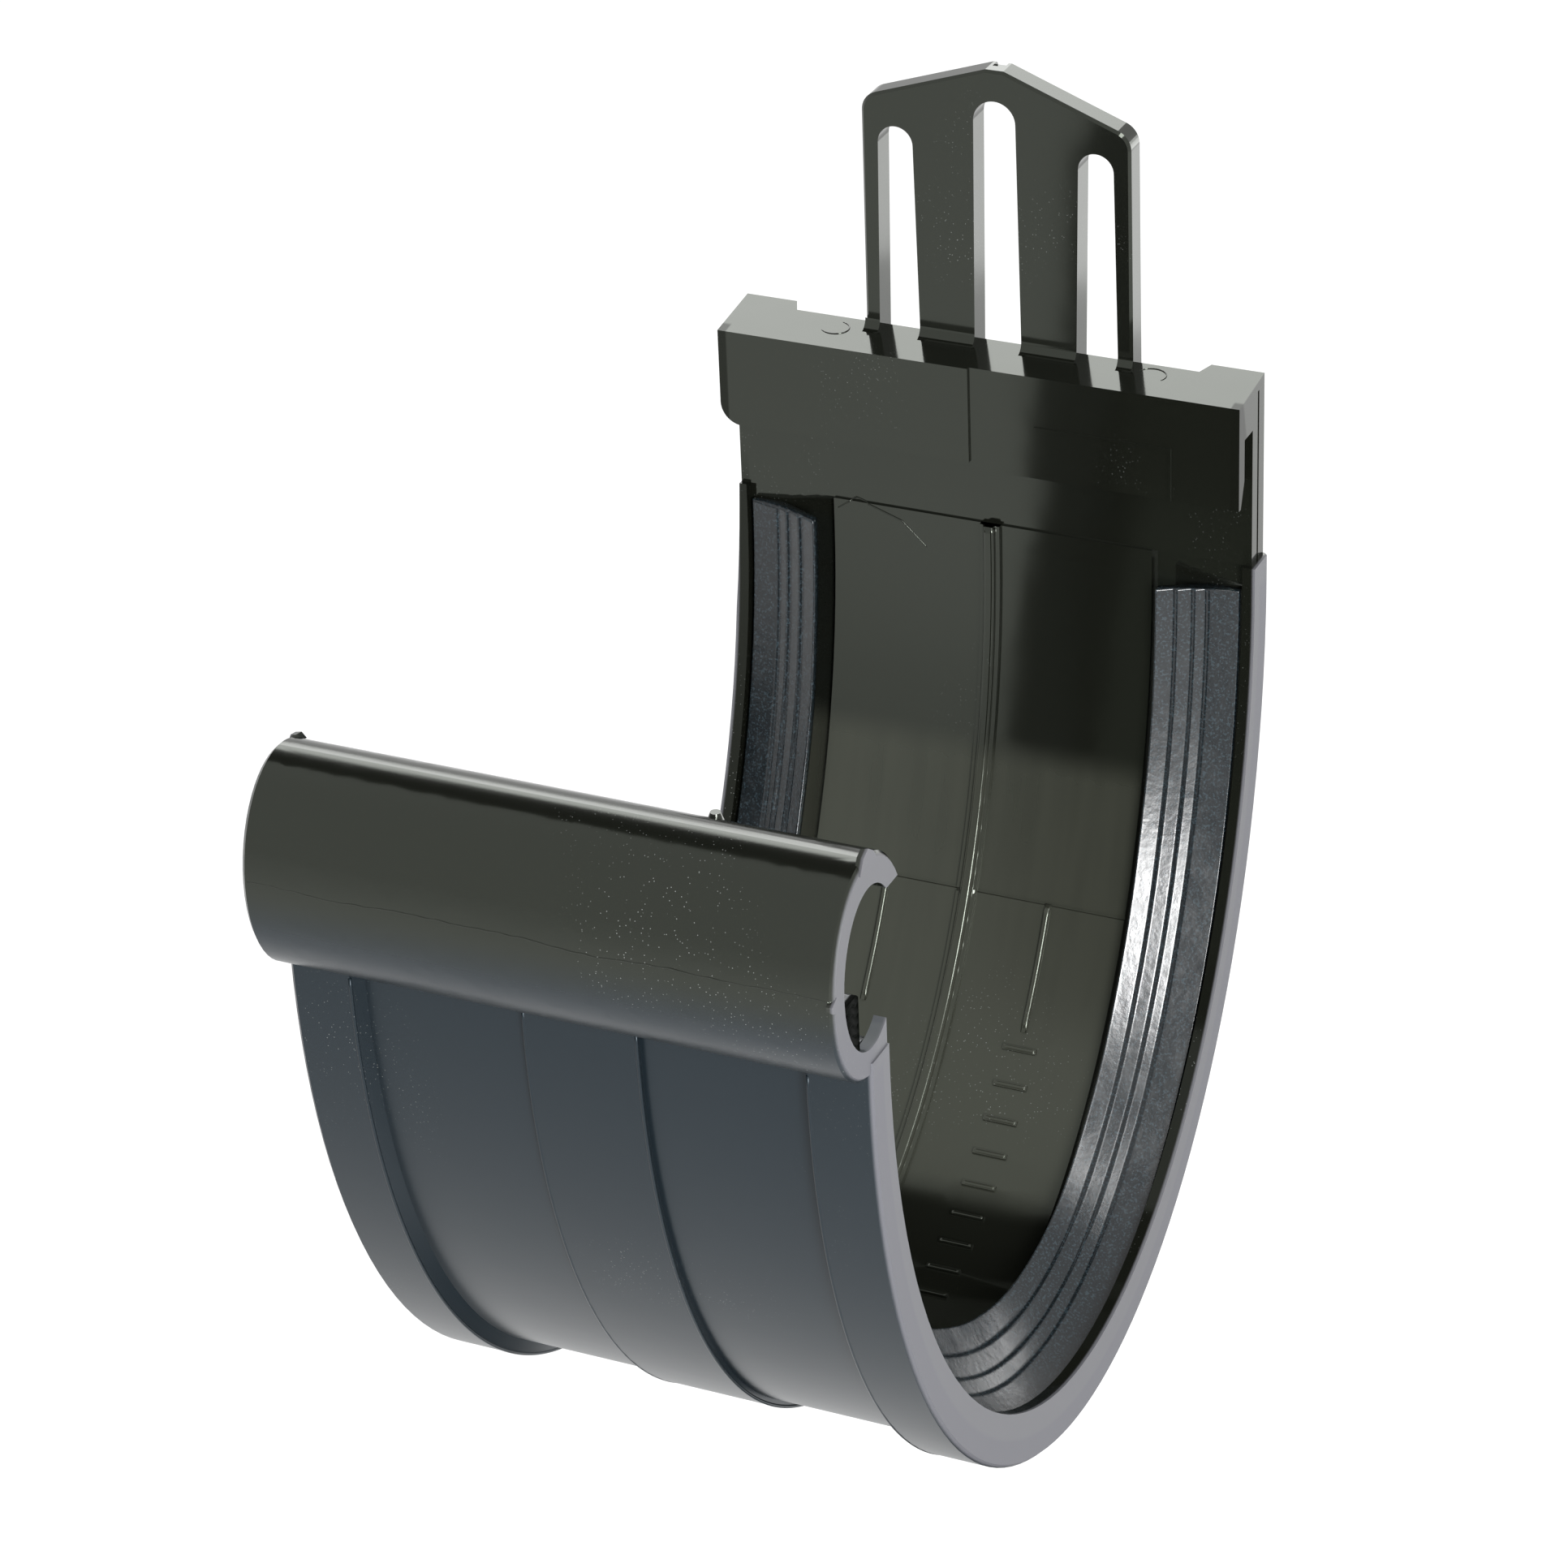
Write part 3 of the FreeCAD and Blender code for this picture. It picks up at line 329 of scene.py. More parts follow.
def seal_outline():
    """Closed section as (distance from the outer edge, height, share of the flare).

    The barbs are a saw-tooth on a straight rise from SMOOTH_HEIGHT to LIP_HEIGHT. A moving average
    over half a millimetre rounds the crests. The flare's share is (distance / width) to the power
    FLARE_CURVE, so it grows from nothing at the outer edge to all at the lip.
    """
    corners = [(0.0, OUTER_HEIGHT), (SMOOTH_WIDTH, SMOOTH_HEIGHT + FIRST_DROP / 2),
               (SMOOTH_WIDTH + NOTCH_WIDTH, SMOOTH_HEIGHT - FIRST_DROP / 2)]
    rise = (LIP_HEIGHT - SMOOTH_HEIGHT) / (SEAL_WIDTH - SMOOTH_WIDTH)
    for end in BARB_ENDS:
        crest = SMOOTH_HEIGHT + rise * (end - SMOOTH_WIDTH)
        corners.append((end - 0.1, crest))
        corners.append((end + NOTCH_WIDTH, crest + rise * NOTCH_WIDTH - NOTCH_DEPTH))
    across, height = np.array(corners[:-1]).T
    distance = np.linspace(0, SEAL_WIDTH, round(SEAL_WIDTH / SECTION_STEP) + 1)
    top = np.interp(distance, across, height)
    padded = np.pad(top, ROUNDING_POINTS // 2, mode="edge")
    top = np.convolve(padded, np.ones(ROUNDING_POINTS) / ROUNDING_POINTS, mode="valid")
    top[0] -= 0.15            # the outermost points drop a little, which rounds both edges
    top[-1] -= 0.12
    edge = [(SEAL_WIDTH + 0.08, LIP_HEIGHT - 0.35), (SEAL_WIDTH, LIP_HEIGHT - LIP_THICKNESS)]
    under = np.linspace((SEAL_WIDTH - 0.2, LIP_HEIGHT - LIP_THICKNESS - 0.1), (FOOT_WIDTH, 0.0), 8)
    foot = np.linspace((FOOT_WIDTH - 0.5, 0.0), (0.0, 0.0), 5)
    shares = np.concatenate(((distance / SEAL_WIDTH) ** FLARE_CURVE, np.ones(2),
                             np.linspace(0.97, 0.0, len(under)), np.zeros(len(foot))))
    return np.column_stack((np.vstack((np.column_stack((distance, top)), edge, under, foot)), shares))


outline = seal_outline()
print("section points:", len(outline), "highest", round(outline[:, 1].max(), 2))

# %% Path of the seal
ROUND_POINTS = 230            # on the half oval, about 1 mm apart
CLIP_POINTS = 26
LIP_LEVELS = (0.4, 2.2)       # the path is upright between these levels, over the clip's lower lip


def seal_path(top, end):
    """Points (y, z) on the groove's floor about 1 mm apart, the direction of height and the flare.

    The oval parts are y = w cos t and z = -d sin t. The direction of height is square to the path,
    turned inwards. The flare is FLARE times sin^2 of a share that rises from 0 to 1 and falls again.
    """
    back = np.column_stack((np.full(6, FLOOR_WIDTH), np.linspace(top, min(top, 0.0) - 0.8, 6)))
    turn = np.linspace(math.asin(-back[-1, 1] / FLOOR_DEPTH) + 0.012, math.pi, ROUND_POINTS)
    round_channel = np.column_stack((FLOOR_WIDTH * np.cos(turn), -FLOOR_DEPTH * np.sin(turn)))
    lip = np.column_stack((np.full(5, -FLOOR_WIDTH), np.linspace(*LIP_LEVELS, 5)))
    width, height = CLIP_SEAT
    start = math.acos((LIP_TIP - 1.0 - CLIP_CENTRE[0]) / width)
    finish = math.pi - math.asin(max(CLIP_CENTRE[1] - end, 0.0) / height)
    clip_turn = np.linspace(start, finish, CLIP_POINTS)
    round_clip = CLIP_CENTRE + np.column_stack((width * np.cos(clip_turn), -height * np.sin(clip_turn)))
    path = np.vstack((back, round_channel, lip, round_clip))
    share = np.interp(np.degrees(turn), (*FLARE_TURNS, 180.0), (0.0, 1.0, 0.0))
    flare = np.zeros(len(path))
    flare[len(back):len(back) + len(share)] = FLARE * np.sin(share * math.pi / 2) ** 2
    along = np.gradient(path, axis=0)
    along /= np.linalg.norm(along, axis=1, keepdims=True)
    inward = np.column_stack((along[:, 1], -along[:, 0]))
    return path, inward, flare


def seal_rise(path):
    """Share of the section's height along the path: LIP_SHARE over the clip's lip, full elsewhere.

    Between 2.6 and 5.6 mm from the lip's tip the share rises as a power of the distance.
    """
    far = np.hypot(path[:, 0] - LIP_TIP, path[:, 1] - LIP_LEVEL)
    return LIP_SHARE + (1 - LIP_SHARE) * np.clip((far - 2.6) / 3.0, 0, 1) ** 1.5


def slow_wave(count, lengths, seed):
    """A gentle wander made of a few sine waves, between about -1 and 1."""
    shift = np.random.default_rng(seed).uniform(0, 2 * math.pi, len(lengths))
    place = np.arange(count)[:, None]
    return np.sin(2 * math.pi * place / np.array(lengths) + shift).mean(axis=1)


def mesh_object(name, vertices, faces, smooth=True):
    """Object from vertices in millimetres and faces, at the origin."""
    mesh = bpy.data.meshes.new(name)
    mesh.from_pydata((np.asarray(vertices) * MM).tolist(), [], faces)
    mesh.validate()
    mesh.polygons.foreach_set("use_smooth", [smooth] * len(mesh.polygons))
    piece = bpy.data.objects.new(name, mesh)
    bpy.context.scene.collection.objects.link(piece)
    return piece


def tube_faces(rows, columns, turned):
    """Quads round a swept section, and one face on each end. Turned faces look the other way.

    Sections here run clockwise or anticlockwise along their path, so each caller says which order
    makes the faces look outwards.
    """
    row, column = np.meshgrid(np.arange(rows - 1), np.arange(columns), indexing="ij")
    near = row * columns + column
    across = row * columns + (column + 1) % columns
    quads = np.stack((near, across, across + columns, near + columns), axis=-1).reshape(-1, 4)
    first = list(range(columns))[::-1]
    last = [(rows - 1) * columns + i for i in range(columns)]
    faces = quads.tolist() + [first, last]
    return [face[::-1] for face in faces] if turned else faces


def make_seal(name, side, seed):
    """One seal on the side +1 or -1, as rows of the section along the path."""
    path, inward, flare = seal_path(SEAL_TOPS[name], seal_high[2])
    rows = len(path)
    print(name, "path points:", rows, "greatest flare, mm:", round(flare.max(), 2))
    rise = seal_rise(path) * (1 + 0.02 * slow_wave(rows, (37, 61, 90), seed))
    wander = 0.08 * slow_wave(rows, (23, 47, 71), seed + 1)
    height = outline[None, :, 1] * rise[:, None] + outline[None, :, 2] * flare[:, None]
    x = SEAL_EDGE - outline[None, :, 0] + wander[:, None] * (outline[None, :, 0] / SEAL_WIDTH) ** 2
    y = path[:, None, 0] + inward[:, None, 0] * height
    z = path[:, None, 1] + inward[:, None, 1] * height
    vertices = np.stack((side * x, y, z), axis=-1).reshape(-1, 3)
    seal = mesh_object(name + "_strip", vertices, tube_faces(rows, len(outline), turned=side < 0))
    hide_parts(name)
    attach(seal, "root")
    return seal


# %% [markdown]
# ## Plugs at the clip
#
# Inside the clip the strip's tail swells to a plug, which fills the front of the clip's bore as far
# as its end. Its end face was cut with a toothed blade, so it has upright ridges. The plug is the
# lower front part of the bore's oval with a level top, swept along the bore. The last rows shrink
# onto the end face, where the ridges are a saw-tooth in height.

# %% Plugs
PLUG_OVAL = (6.85, 9.75)      # the bore's oval, less a clearance
PLUG_TOP = 11.35
PLUG_BACK = -64.6             # how far the plug reaches from the front of the bore
PLUG_SPAN = (22.6, 35.45)     # along the gutter
RIDGE_PITCH = 1.25
RIDGE_HEIGHT = 0.2
PLUG_ROWS = 7                 # rows of the full section
CAP_ROWS = 32                 # rows that shrink onto the end face


def plug_outline():
    """Closed section (y, z): a quarter of an oval from its front down to the back plane, then up."""
    last = math.acos((PLUG_BACK - CLIP_CENTRE[0]) / PLUG_OVAL[0])
    turn = np.linspace(math.pi, last, 36)
    curve = np.column_stack((CLIP_CENTRE[0] + PLUG_OVAL[0] * np.cos(turn),
                             CLIP_CENTRE[1] - PLUG_OVAL[1] * np.sin(turn)))
    rise = np.linspace(curve[-1], (PLUG_BACK, PLUG_TOP - 0.4), 20)[1:]
    top = np.linspace((PLUG_BACK - 0.4, PLUG_TOP), (curve[0, 0] + 0.1, PLUG_TOP), 10)
    return np.vstack((curve, rise, top))


def make_plug(name, side):
    """A plug on the side +1 or -1: full rows along the bore, then shrinking rows on its end face.

    The ridges rise over 0.7 of their pitch and fall over the rest, and waver a little.
    """
    section = plug_outline()
    middle = section.mean(axis=0)
    share = np.concatenate((np.ones(PLUG_ROWS), np.linspace(0.97, 0.03, CAP_ROWS)))
    depth = np.concatenate((np.linspace(PLUG_SPAN[0], PLUG_SPAN[1] - 0.3, PLUG_ROWS - 1),
                            np.full(CAP_ROWS + 1, PLUG_SPAN[1])))
    rows = middle + share[:, None, None] * (section - middle)
    saw = (rows[..., 1] - CLIP_CENTRE[1] + 0.35 * np.sin(rows[..., 0] * 2.1)) / RIDGE_PITCH % 1.0
    ridges = RIDGE_HEIGHT * np.where(saw < 0.7, saw / 0.7, (1 - saw) / 0.3)
    x = depth[:, None] - np.where(np.arange(len(share))[:, None] >= PLUG_ROWS, ridges, 0.0)
    vertices = np.stack((side * x, rows[..., 0], rows[..., 1]), axis=-1).reshape(-1, 3)
    plug = mesh_object(name + "_plug", vertices, tube_faces(len(share), len(section), turned=side < 0))
    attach(plug, "root")
    return plug


seals = [make_seal("seal_left", -1, 5), make_seal("seal_right", 1, 11)]
seals += [make_plug("seal_left", -1), make_plug("seal_right", 1)]
for seal in seals:
    print(seal.name, "faces:", len(seal.data.polygons))

# %% [markdown]
# ## EPDM rubber
#
# EPDM is filled with carbon black, like the moulding, but its skin is softer and less glossy, and a
# light bloom makes it a little blue. The tail that runs over the clip's lip is painted paler, as painted
# light that lifts a dark patch there, while the freshly cut ends of the plugs are dull and almost
# black. Fine mottling in the roughness breaks up the highlights.

# %% Rubber material
EPDM_IOR = 1.52
GRAIN_SCALE = 900.0           # grain a little over 1 mm, coarser than the real one so that it shows
MOTTLE_SCALE = 260.0          # mottling about 4 mm apart
BLOOM_SCALE = 3200.0          # bloom in specks of 0.3 mm

rubber, tree, output = new_material("extruded_epdm_rubber")
place, x, y, z = millimetres(tree)
dust = add_node(tree, "ShaderNodeTexNoise", inputs={"Vector": place, "Scale": GRAIN_SCALE, "Detail": 3.0})
grain = add_node(tree, "ShaderNodeBump", inputs={"Strength": 0.12, "Distance": 0.0003,
                                                 "Height": dust.outputs["Fac"]})
mottle = add_node(tree, "ShaderNodeTexNoise",
                  inputs={"Vector": place, "Scale": MOTTLE_SCALE, "Detail": 4.0})
painted_light_on_lip = math_node(tree, "MULTIPLY", fade(tree, y, -55.5, -57.0), fade(tree, z, 0.2, 1.6))
painted_light_on_lip = math_node(tree, "MULTIPLY", painted_light_on_lip, fade(tree, math_node(tree, "ABSOLUTE", x), 34.1, 33.7))
cut_end = fade(tree, math_node(tree, "ABSOLUTE", x), 34.6, 34.9)
bloom = add_node(tree, "ShaderNodeTexNoise", inputs={"Vector": place, "Scale": BLOOM_SCALE, "Detail": 1.0})
speckle = fade(tree, bloom.outputs["Fac"], 0.5, 0.7)
skin = blend(tree, speckle, linear("#080d10"), linear("#1c262b"))
# Painted light: the tail over the lip is painted paler, lifting a dark patch there.
skin = blend(tree, painted_light_on_lip, skin, linear("#3b3d40"))
skin = blend(tree, cut_end, skin, linear("#020302"))
rough = math_node(tree, "MULTIPLY_ADD", mottle.outputs["Fac"], 0.24, 0.14)
rough = blend(tree, cut_end, rough, 0.6)
gloss = blend(tree, cut_end, 0.5, 0.02)
shader = add_node(tree, "ShaderNodeBsdfPrincipled",
                  inputs={"Base Color": skin, "Roughness": rough, "IOR": EPDM_IOR,
                          "Specular IOR Level": gloss, "Normal": grain.outputs["Normal"]})
tree.links.new(shader.outputs["BSDF"], output.inputs["Surface"])
for seal in seals:
    seal.data.materials.append(rubber)
print("nodes in the rubber's material:", len(tree.nodes))

# %% [markdown]
# ## Rounded edges and beads in the channel
#
# A mould never leaves a knife edge. The centre stop, the guide lines and the ticks get a thin skin
# with rounded shoulders, which catch the light as fine pale lines. Each skin is a grid over the
# channel's oval: one direction runs round the channel, the other along the gutter, and the height
# over the surface is a formula of both.

# %% Skins over the raised marks
CHANNEL = (58.5, 80.6)        # half width and depth of the channel
SKIN = 0.06                   # a skin stands this far outside the shape it covers
STOP_PLINTH = (1.35, 0.5)     # half width and height
STOP_RIB = (0.65, 1.0)
STOP_TOP = 3.3                # the stop runs up the straight back of the channel to here
STOP_END = 178.5              # degrees round the channel, down from its back edge
GUIDE_X = 11.4
GUIDE_BEAD = (0.46, 0.5)
GUIDE_TURN = (34.4, 47.6)     # degrees, as above
TICK_TURN = (49.7, 83.0)
TICK_COUNT = 9
TICK_SIZE = (4.6, 0.7)        # along the gutter and round the channel
TICK_HEIGHT = 0.42
SKIN_ROOT = 0.3               # how deep the underside of a skin is sunk into the wall


def channel_grid(turn, height):
    """Points (y, z) on the channel at each turn, moved inwards by a height per row and column.

    Turns from 0 to 180 degrees follow the oval. Turns below 0 go straight up the channel's back.
    """
    y = CHANNEL[0] * np.cos(np.maximum(turn, 0))
    z = -CHANNEL[1] * np.where(turn < 0, turn, np.sin(turn))
    slope = np.column_stack((y / CHANNEL[0] ** 2, np.minimum(z, 0) / CHANNEL[1] ** 2))
    inward = -slope / np.linalg.norm(slope, axis=1, keepdims=True)
    return y[:, None] + inward[:, None, 0] * height, z[:, None] + inward[:, None, 1] * height


def shoulder(distance, half_width, height, radius):
    """Height of a flat-topped strip with round shoulders, at a distance from its middle line.

    Past half_width - radius the top falls as a quarter circle, sqrt(1 - u^2), to the strip's foot.
    """
    u = np.clip((np.abs(distance) - half_width + radius) / radius, 0, 1)
    return height * np.sqrt(1 - u ** 2)


def skin_piece(name, x, turn, height):
    """A closed skin: the formula's surface on top, and a smooth underside sunk into the wall."""
    top_y, top_z = channel_grid(turn, height)
    low_y, low_z = channel_grid(turn, np.full_like(height, -SKIN_ROOT))
    xs = np.broadcast_to(x, height.shape)
    y = np.hstack((top_y, low_y[:, ::-1]))
    z = np.hstack((top_z, low_z[:, ::-1]))
    vertices = np.stack((np.hstack((xs, xs[:, ::-1])), y, z), axis=-1).reshape(-1, 3)
    piece = mesh_object(name, vertices, tube_faces(len(turn), y.shape[1], turned=True))
    piece.data.materials.append(moulded)
    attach(piece, "root")
    return piece


def stop_skin():
    """Skin of the centre stop, all the way round: a round-shouldered rib that runs out to a plinth."""
    turn = np.radians(np.linspace(-math.degrees(STOP_TOP / CHANNEL[1]), STOP_END, 244))
    half = STOP_PLINTH[0] + SKIN
    x = np.linspace(-half, half, 67)
    plinth = shoulder(x, half, STOP_PLINTH[1] + SKIN, 0.9)
    rib = shoulder(x, STOP_RIB[0] + 0.3, STOP_RIB[1] + SKIN, 0.62)
    height = np.tile(np.maximum(plinth, rib), (len(turn), 1))
    return skin_piece("centre_stop_skin", x, turn, height)


def guide_skin(name, side):
    """Round bead over one guide line: height times sqrt(1 - s^3) across and sqrt(1 - e^20) along."""
    turn = np.radians(np.linspace(GUIDE_TURN[0] - 0.2, GUIDE_TURN[1] + 0.2, 24))
    spread = np.linspace(-1, 1, 13)
    x = side * GUIDE_X + GUIDE_BEAD[0] * spread
    ends = np.sqrt(np.clip(1 - np.linspace(-1, 1, len(turn)) ** 20, 0, 1))
    height = GUIDE_BEAD[1] * ends[:, None] * np.sqrt(np.clip(1 - np.abs(spread) ** 3, 0, 1))
    return skin_piece(name, x, turn, height)


def tick_skin(number):
    """Pillow-shaped skin over one tick: height times sqrt(1 - a^3) round and sqrt(1 - s^12) along.

    A radian of turn is hypot(w sin t, d cos t) millimetres long on the oval, at the turn t.
    """
    share = number / (TICK_COUNT - 1)
    middle = math.radians(TICK_TURN[0] + (TICK_TURN[1] - TICK_TURN[0]) * share)
    radian = math.hypot(CHANNEL[0] * math.sin(middle), CHANNEL[1] * math.cos(middle))
    away = np.linspace(-1, 1, 11)
    turn = middle + away * (TICK_SIZE[1] / 2 + SKIN) / radian
    spread = np.linspace(-1, 1, 25)
    x = GUIDE_X + (TICK_SIZE[0] / 2 + SKIN) * spread
    round_way = np.sqrt(np.clip(1 - np.abs(away) ** 3, 0, 1))
    along_way = np.sqrt(np.clip(1 - np.abs(spread) ** 12, 0, 1))
    return skin_piece(f"tick_skin_{number}", x, turn, TICK_HEIGHT * round_way[:, None] * along_way)


skins = [stop_skin(), guide_skin("guide_skin_left", -1), guide_skin("guide_skin_right", 1)]
skins += [tick_skin(number) for number in range(TICK_COUNT)]
print("skins:", len(skins))

# %% [markdown]
# ## Marks of moulding
#
# Where the mould's parts meet, a little plastic creeps out as flash. There is a fine line along the
# front of the clip, a small ear and a burr at the clip's ends, the rounded corners of the bands, a
# fold where two flows met under the hook, and rings left by ejector pins on top of the hook. The
# ear, the burr and a bump are flat flakes. Every other mark is a thin round thread along its line.

# %% Threads of plastic
CLIP_OUTER = (9.9, 13.5)      # half width and height of the clip's outer oval
BAND = (63.0, 85.6)           # half width and depth of the end bands' outside
CENTRE_BAND = (61.9, 84.5)
THREAD_SIDES = 8


def thread(name, points, radius, taper=True):
    """A round thread along points, as rings square to its direction, thinner towards its ends.

    The radius is a quarter at the ends and grows with the square root of a sine to the middle.
    """
    points = np.asarray(points, float)
    along = np.gradient(points, axis=0)
    along /= np.linalg.norm(along, axis=1, keepdims=True)
    helper = np.where(np.abs(along[:, :1]) > 0.9, (0.0, 0.0, 1.0), (1.0, 0.0, 0.0))
    side = np.cross(along, helper)
    side /= np.linalg.norm(side, axis=1, keepdims=True)
    other = np.cross(along, side)
    turn = np.linspace(0, 2 * math.pi, THREAD_SIDES, endpoint=False)
    size = np.full(len(points), radius)
    if taper:
        size = radius * (0.25 + 0.75 * np.sin(np.linspace(0.1, math.pi - 0.1, len(points))) ** 0.5)
    rings = (points[:, None] + size[:, None, None] * (np.cos(turn)[None, :, None] * side[:, None]
                                                      + np.sin(turn)[None, :, None] * other[:, None]))
    faces = tube_faces(len(points), THREAD_SIDES, turned=False)
    piece = mesh_object(name, rings.reshape(-1, 3), faces)
    piece.data.materials.append(moulded)
    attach(piece, "root")
    return piece


# %% Flash line and corners of the bands
MOULD_LINE_LEVEL = 14.3
MOULD_LINE_RADIUS = 0.11


def clip_mould_line():
    """Flash along the clip's front, a little above its middle, wandering up and down."""
    x = np.linspace(-35.0, 35.4, 140)
    wander = 0.35 * slow_wave(len(x), (31, 53, 97), 3) + 0.08 * slow_wave(len(x), (5, 7, 11), 4)
    z = MOULD_LINE_LEVEL + wander
    share = (z - CLIP_CENTRE[1]) / CLIP_OUTER[1]
    y = CLIP_CENTRE[0] - CLIP_OUTER[0] * np.sqrt(1 - share ** 2) + 0.03
    return thread("clip_mould_line", np.column_stack((x, y, z)), MOULD_LINE_RADIUS)


BAND_EDGE_RADIUS = 0.22


def band_edge(name, x, oval):
    """Rounded corner of a band on the outside, from front edge to back edge."""
    turn = np.linspace(0.02, math.pi - 0.02, 180)
    width, depth = (half - 0.7 * BAND_EDGE_RADIUS for half in oval)
    points = np.column_stack((np.full(len(turn), x), width * np.cos(turn), -depth * np.sin(turn)))
    return thread(name, points, BAND_EDGE_RADIUS, taper=False)


# %% Rings and folds
HOOK_FRONT = (54.0, 27.2)     # y and z of the front edge of the hook's top face
HOOK_SLOPE = 0.12
RING = (1.9, 1.5)             # half width and depth of a ring
RING_RADIUS = 0.09
FOLD_RADIUS = 0.13
FOLD_X = (-21.4, -18.9, -12.4, -9.0)
FOLD_Z = (2.0, 3.8, 1.6, -1.6)
WALL_Y = 58.5                 # the channel's straight back wall
LEDGE_LEVEL = 3.3             # above this the fold lies a little further back


def ejector_ring(name, x, y, start, finish):
    """Part of a raised ring on the hook's sloped top face, between two turns in degrees."""
    turn = np.radians(np.linspace(start, finish, 40))
    ring_y = y + RING[1] * np.sin(turn)
    z = HOOK_FRONT[1] + (ring_y - HOOK_FRONT[0]) * HOOK_SLOPE + 0.02
    return thread(name, np.column_stack((x + RING[0] * np.cos(turn), ring_y, z)), RING_RADIUS)


def flow_fold():
    """Fold under the hook's left half, where two flows of plastic met."""
    corner = np.arange(len(FOLD_X))
    share = np.linspace(0, corner[-1], 50)
    x, z = np.interp(share, corner, FOLD_X), np.interp(share, corner, FOLD_Z)
    y = np.where(z > LEDGE_LEVEL, WALL_Y + 0.35, WALL_Y)
    return thread("flow_fold", np.column_stack((x, y, z)), FOLD_RADIUS)


# %% Flakes of flash, and every mark
EAR_OUTLINE = [(-64.2, 25.6), (-63.2, 27.3), (-61.9, 27.9), (-60.6, 27.0), (-59.6, 25.6)]
BUMP_OUTLINE = [(-71.0, 12.6), (-72.2, 13.2), (-72.3, 14.0), (-71.0, 14.6)]
BURR_OUTLINE = [(-59.4, 25.0), (-58.4, 26.0), (-57.0, 25.7), (-56.0, 24.4)]


def clip_ear(name, x, outline, thickness):
    """A flake of flash at an end of the clip, from its outline as (y, z)."""
    outline = np.asarray(outline, float)
    front = np.column_stack((np.full(len(outline), x), outline))
    middle = outline.mean(axis=0)
    back = np.column_stack((np.full(len(outline), x - thickness), middle + 0.8 * (outline - middle)))
    faces = tube_faces(2, len(outline), turned=True)
    piece = mesh_object(name, np.vstack((back, front)), faces, smooth=False)
    piece.data.materials.append(moulded)
    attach(piece, "root")
    return piece


marks = [clip_mould_line(), flow_fold(),
         ejector_ring("ejector_ring_left", -20.9, 58.3, -140, 75),
         ejector_ring("ejector_ring_right", 22.0, 58.6, -35, 160),
         band_edge("centre_band_edge_left", -7.0, CENTRE_BAND),
         band_edge("centre_band_edge_right", 7.0, CENTRE_BAND),
         band_edge("band_edge_left", -28.3, BAND), band_edge("band_edge_right", 28.3, BAND),
         clip_ear("clip_ear_right", 35.95, EAR_OUTLINE, 0.9),
         clip_ear("clip_bump_right", 35.9, BUMP_OUTLINE, 0.8),
         clip_ear("clip_burr_left", -35.2, BURR_OUTLINE, 0.7)]
print("marks:", len(marks))

# %% [markdown]
# ## Studio
#
# A white table and a white surround, as for a catalogue picture. A gloss black part is lit by what
# it mirrors, so each lamp is a large soft box placed where one set of faces looks. Three black
# cards stand out of the picture and are seen in reflections only. The one below is painted shade: it
# stands in for the part's shadow on a nearer table, and gives the sides of the bands their dark edge.
# The one on the left is what the left seal mirrors, and the one above is what the channel's floor
# mirrors.

# %% Table
FLOOR_LEVEL = -260.0
FLOOR_SIZE = 8000.0
GLOW_SHARE = 0.8              # how much of the table's look is plain white, to the camera and in gloss


def flat_piece(name, centre, width, depth):
    """A level rectangle that faces up. Sizes in millimetres."""
    x, y, z = centre
    corners = [(x - width / 2, y - depth / 2, z), (x + width / 2, y - depth / 2, z),
               (x + width / 2, y + depth / 2, z), (x - width / 2, y + depth / 2, z)]
    piece = mesh_object(name, corners, [(0, 1, 2, 3)], smooth=False)
    return piece


floor = flat_piece("floor", (0, 0, FLOOR_LEVEL), FLOOR_SIZE, FLOOR_SIZE)
white, tree, output = new_material("white_studio_floor")
rays = add_node(tree, "ShaderNodeLightPath")
seen = math_node(tree, "MAXIMUM", rays.outputs["Is Camera Ray"], rays.outputs["Is Glossy Ray"])
share = math_node(tree, "MULTIPLY", seen, GLOW_SHARE)
lit = add_node(tree, "ShaderNodeBsdfDiffuse", inputs={"Color": linear("#f4f4f4")})
glow = add_node(tree, "ShaderNodeEmission", inputs={"Color": linear("#ffffff"), "Strength": 1.0})
mixed = add_node(tree, "ShaderNodeMixShader", inputs={0: share, 1: lit.outputs[0], 2: glow.outputs[0]})
tree.links.new(mixed.outputs[0], output.inputs["Surface"])
floor.data.materials.append(white)
print("table at z, mm:", FLOOR_LEVEL)

# %% Black cards
black, tree, output = new_material("black_card")
lit = add_node(tree, "ShaderNodeBsdfDiffuse", inputs={"Color": linear("#101010")})
tree.links.new(lit.outputs[0], output.inputs["Surface"])


def black_card(name, corners):
    """A card that only mirror reflections see."""
    card = mesh_object(name, corners, [(0, 1, 2, 3)], smooth=False)
    card.visible_camera = False
    card.visible_shadow = False
    card.visible_diffuse = False
    card.data.materials.append(black)
    return card


# Painted shade: this card stands in for the part's own shadow on a table just below it.
black_card("black_card_below", [(-10, -12, -200), (115, -12, -200), (115, 68, -200), (-10, 68, -200)])
black_card("black_card_left", [(-560, -560, -160), (-800, -120, -160),
                               (-800, -120, 120), (-560, -560, 120)])
black_card("black_card_above", [(-300, 40, 400), (-60, -52, 400), (-60, 300, 400), (-300, 300, 400)])

# %% White surround
SURROUND = 0.9                # strength of the light that comes from all round

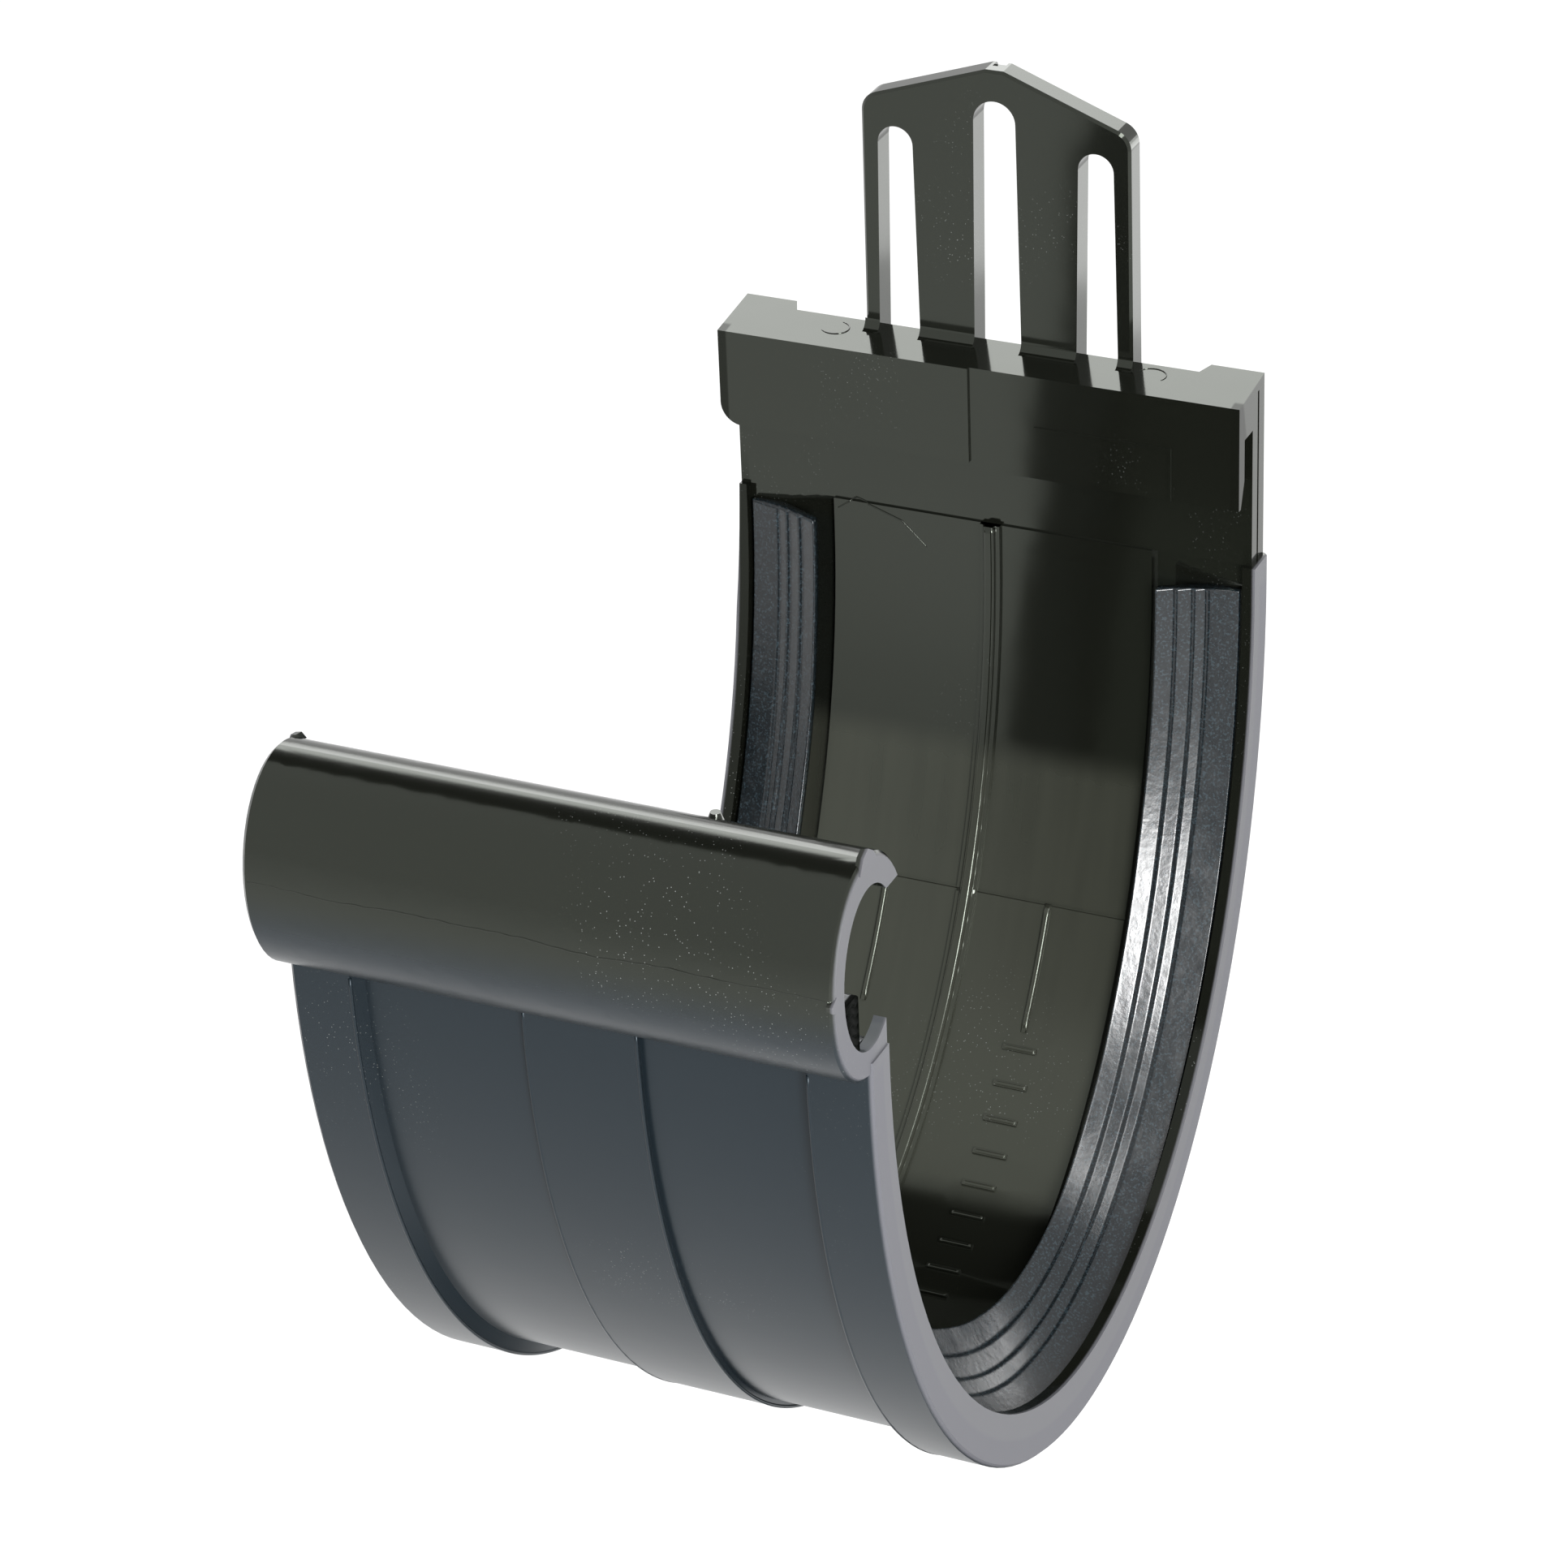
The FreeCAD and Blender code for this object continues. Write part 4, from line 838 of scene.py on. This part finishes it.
world = bpy.data.worlds.new("studio")
bpy.context.scene.world = world
world.use_nodes = True
tree = world.node_tree
tree.nodes.clear()
output = add_node(tree, "ShaderNodeOutputWorld")
rays = add_node(tree, "ShaderNodeLightPath")
surround = add_node(tree, "ShaderNodeBackground",
                    inputs={"Color": linear("#ffffff"), "Strength": SURROUND})
behind = add_node(tree, "ShaderNodeBackground", inputs={"Color": linear("#ffffff"), "Strength": 1.0})
mixed = add_node(tree, "ShaderNodeMixShader", inputs={0: rays.outputs["Is Camera Ray"],
                                                      1: surround.outputs[0], 2: behind.outputs[0]})
tree.links.new(mixed.outputs[0], output.inputs["Surface"])
print("surround strength:", SURROUND)

# %% Soft boxes


def soft_box(name, place, target, width, height, radiance):
    """A rectangular lamp at a place, turned to face a target. Sizes in millimetres.

    A flat lamp of area A that shines evenly with radiance L gives off pi A L watts.
    """
    data = bpy.data.lights.new(name, "AREA")
    data.shape = "RECTANGLE"
    data.size = width * MM
    data.size_y = height * MM
    data.energy = math.pi * data.size * data.size_y * radiance
    lamp = bpy.data.objects.new(name, data)
    bpy.context.scene.collection.objects.link(lamp)
    away = np.array(place, float) - np.array(target, float)
    away /= np.linalg.norm(away)
    side = np.cross((0.0, 0.0, 1.0), away)
    side /= np.linalg.norm(side)
    rise = np.cross(away, side)
    lamp.matrix_world = (Matrix.Translation([v * MM for v in place])
                         @ Matrix(np.column_stack((side, rise, away)).tolist()).to_4x4())
    lamp.visible_camera = False
    print(name, "watts:", round(data.energy, 1))
    return lamp


# The first lights the tops of the clip, hook and lug. The next two light the low right rim and the
# sides of the slots. The last two stand where the seal's barbs look, and give them highlights.
soft_box("back_top_box", (-380, 800, 560), (0, 0, 0), 900, 500, 3.6)
soft_box("right_back_box", (520, 760, -60), (0, 0, -20), 700, 300, 2.2)
soft_box("table_light", (330, 620, -250), (0, 0, -20), 600, 500, 1.3)
soft_box("seal_box", (600, -750, 270), (20, 0, -20), 280, 480, 52.0)
soft_box("over_seal_box", (500, -240, 700), (20, 0, -60), 600, 220, 11.0)

# %% [markdown]
# ## Finish
#
# The colours are shown as they are written.

# %% Finish
bpy.context.scene.view_settings.view_transform = "Standard"
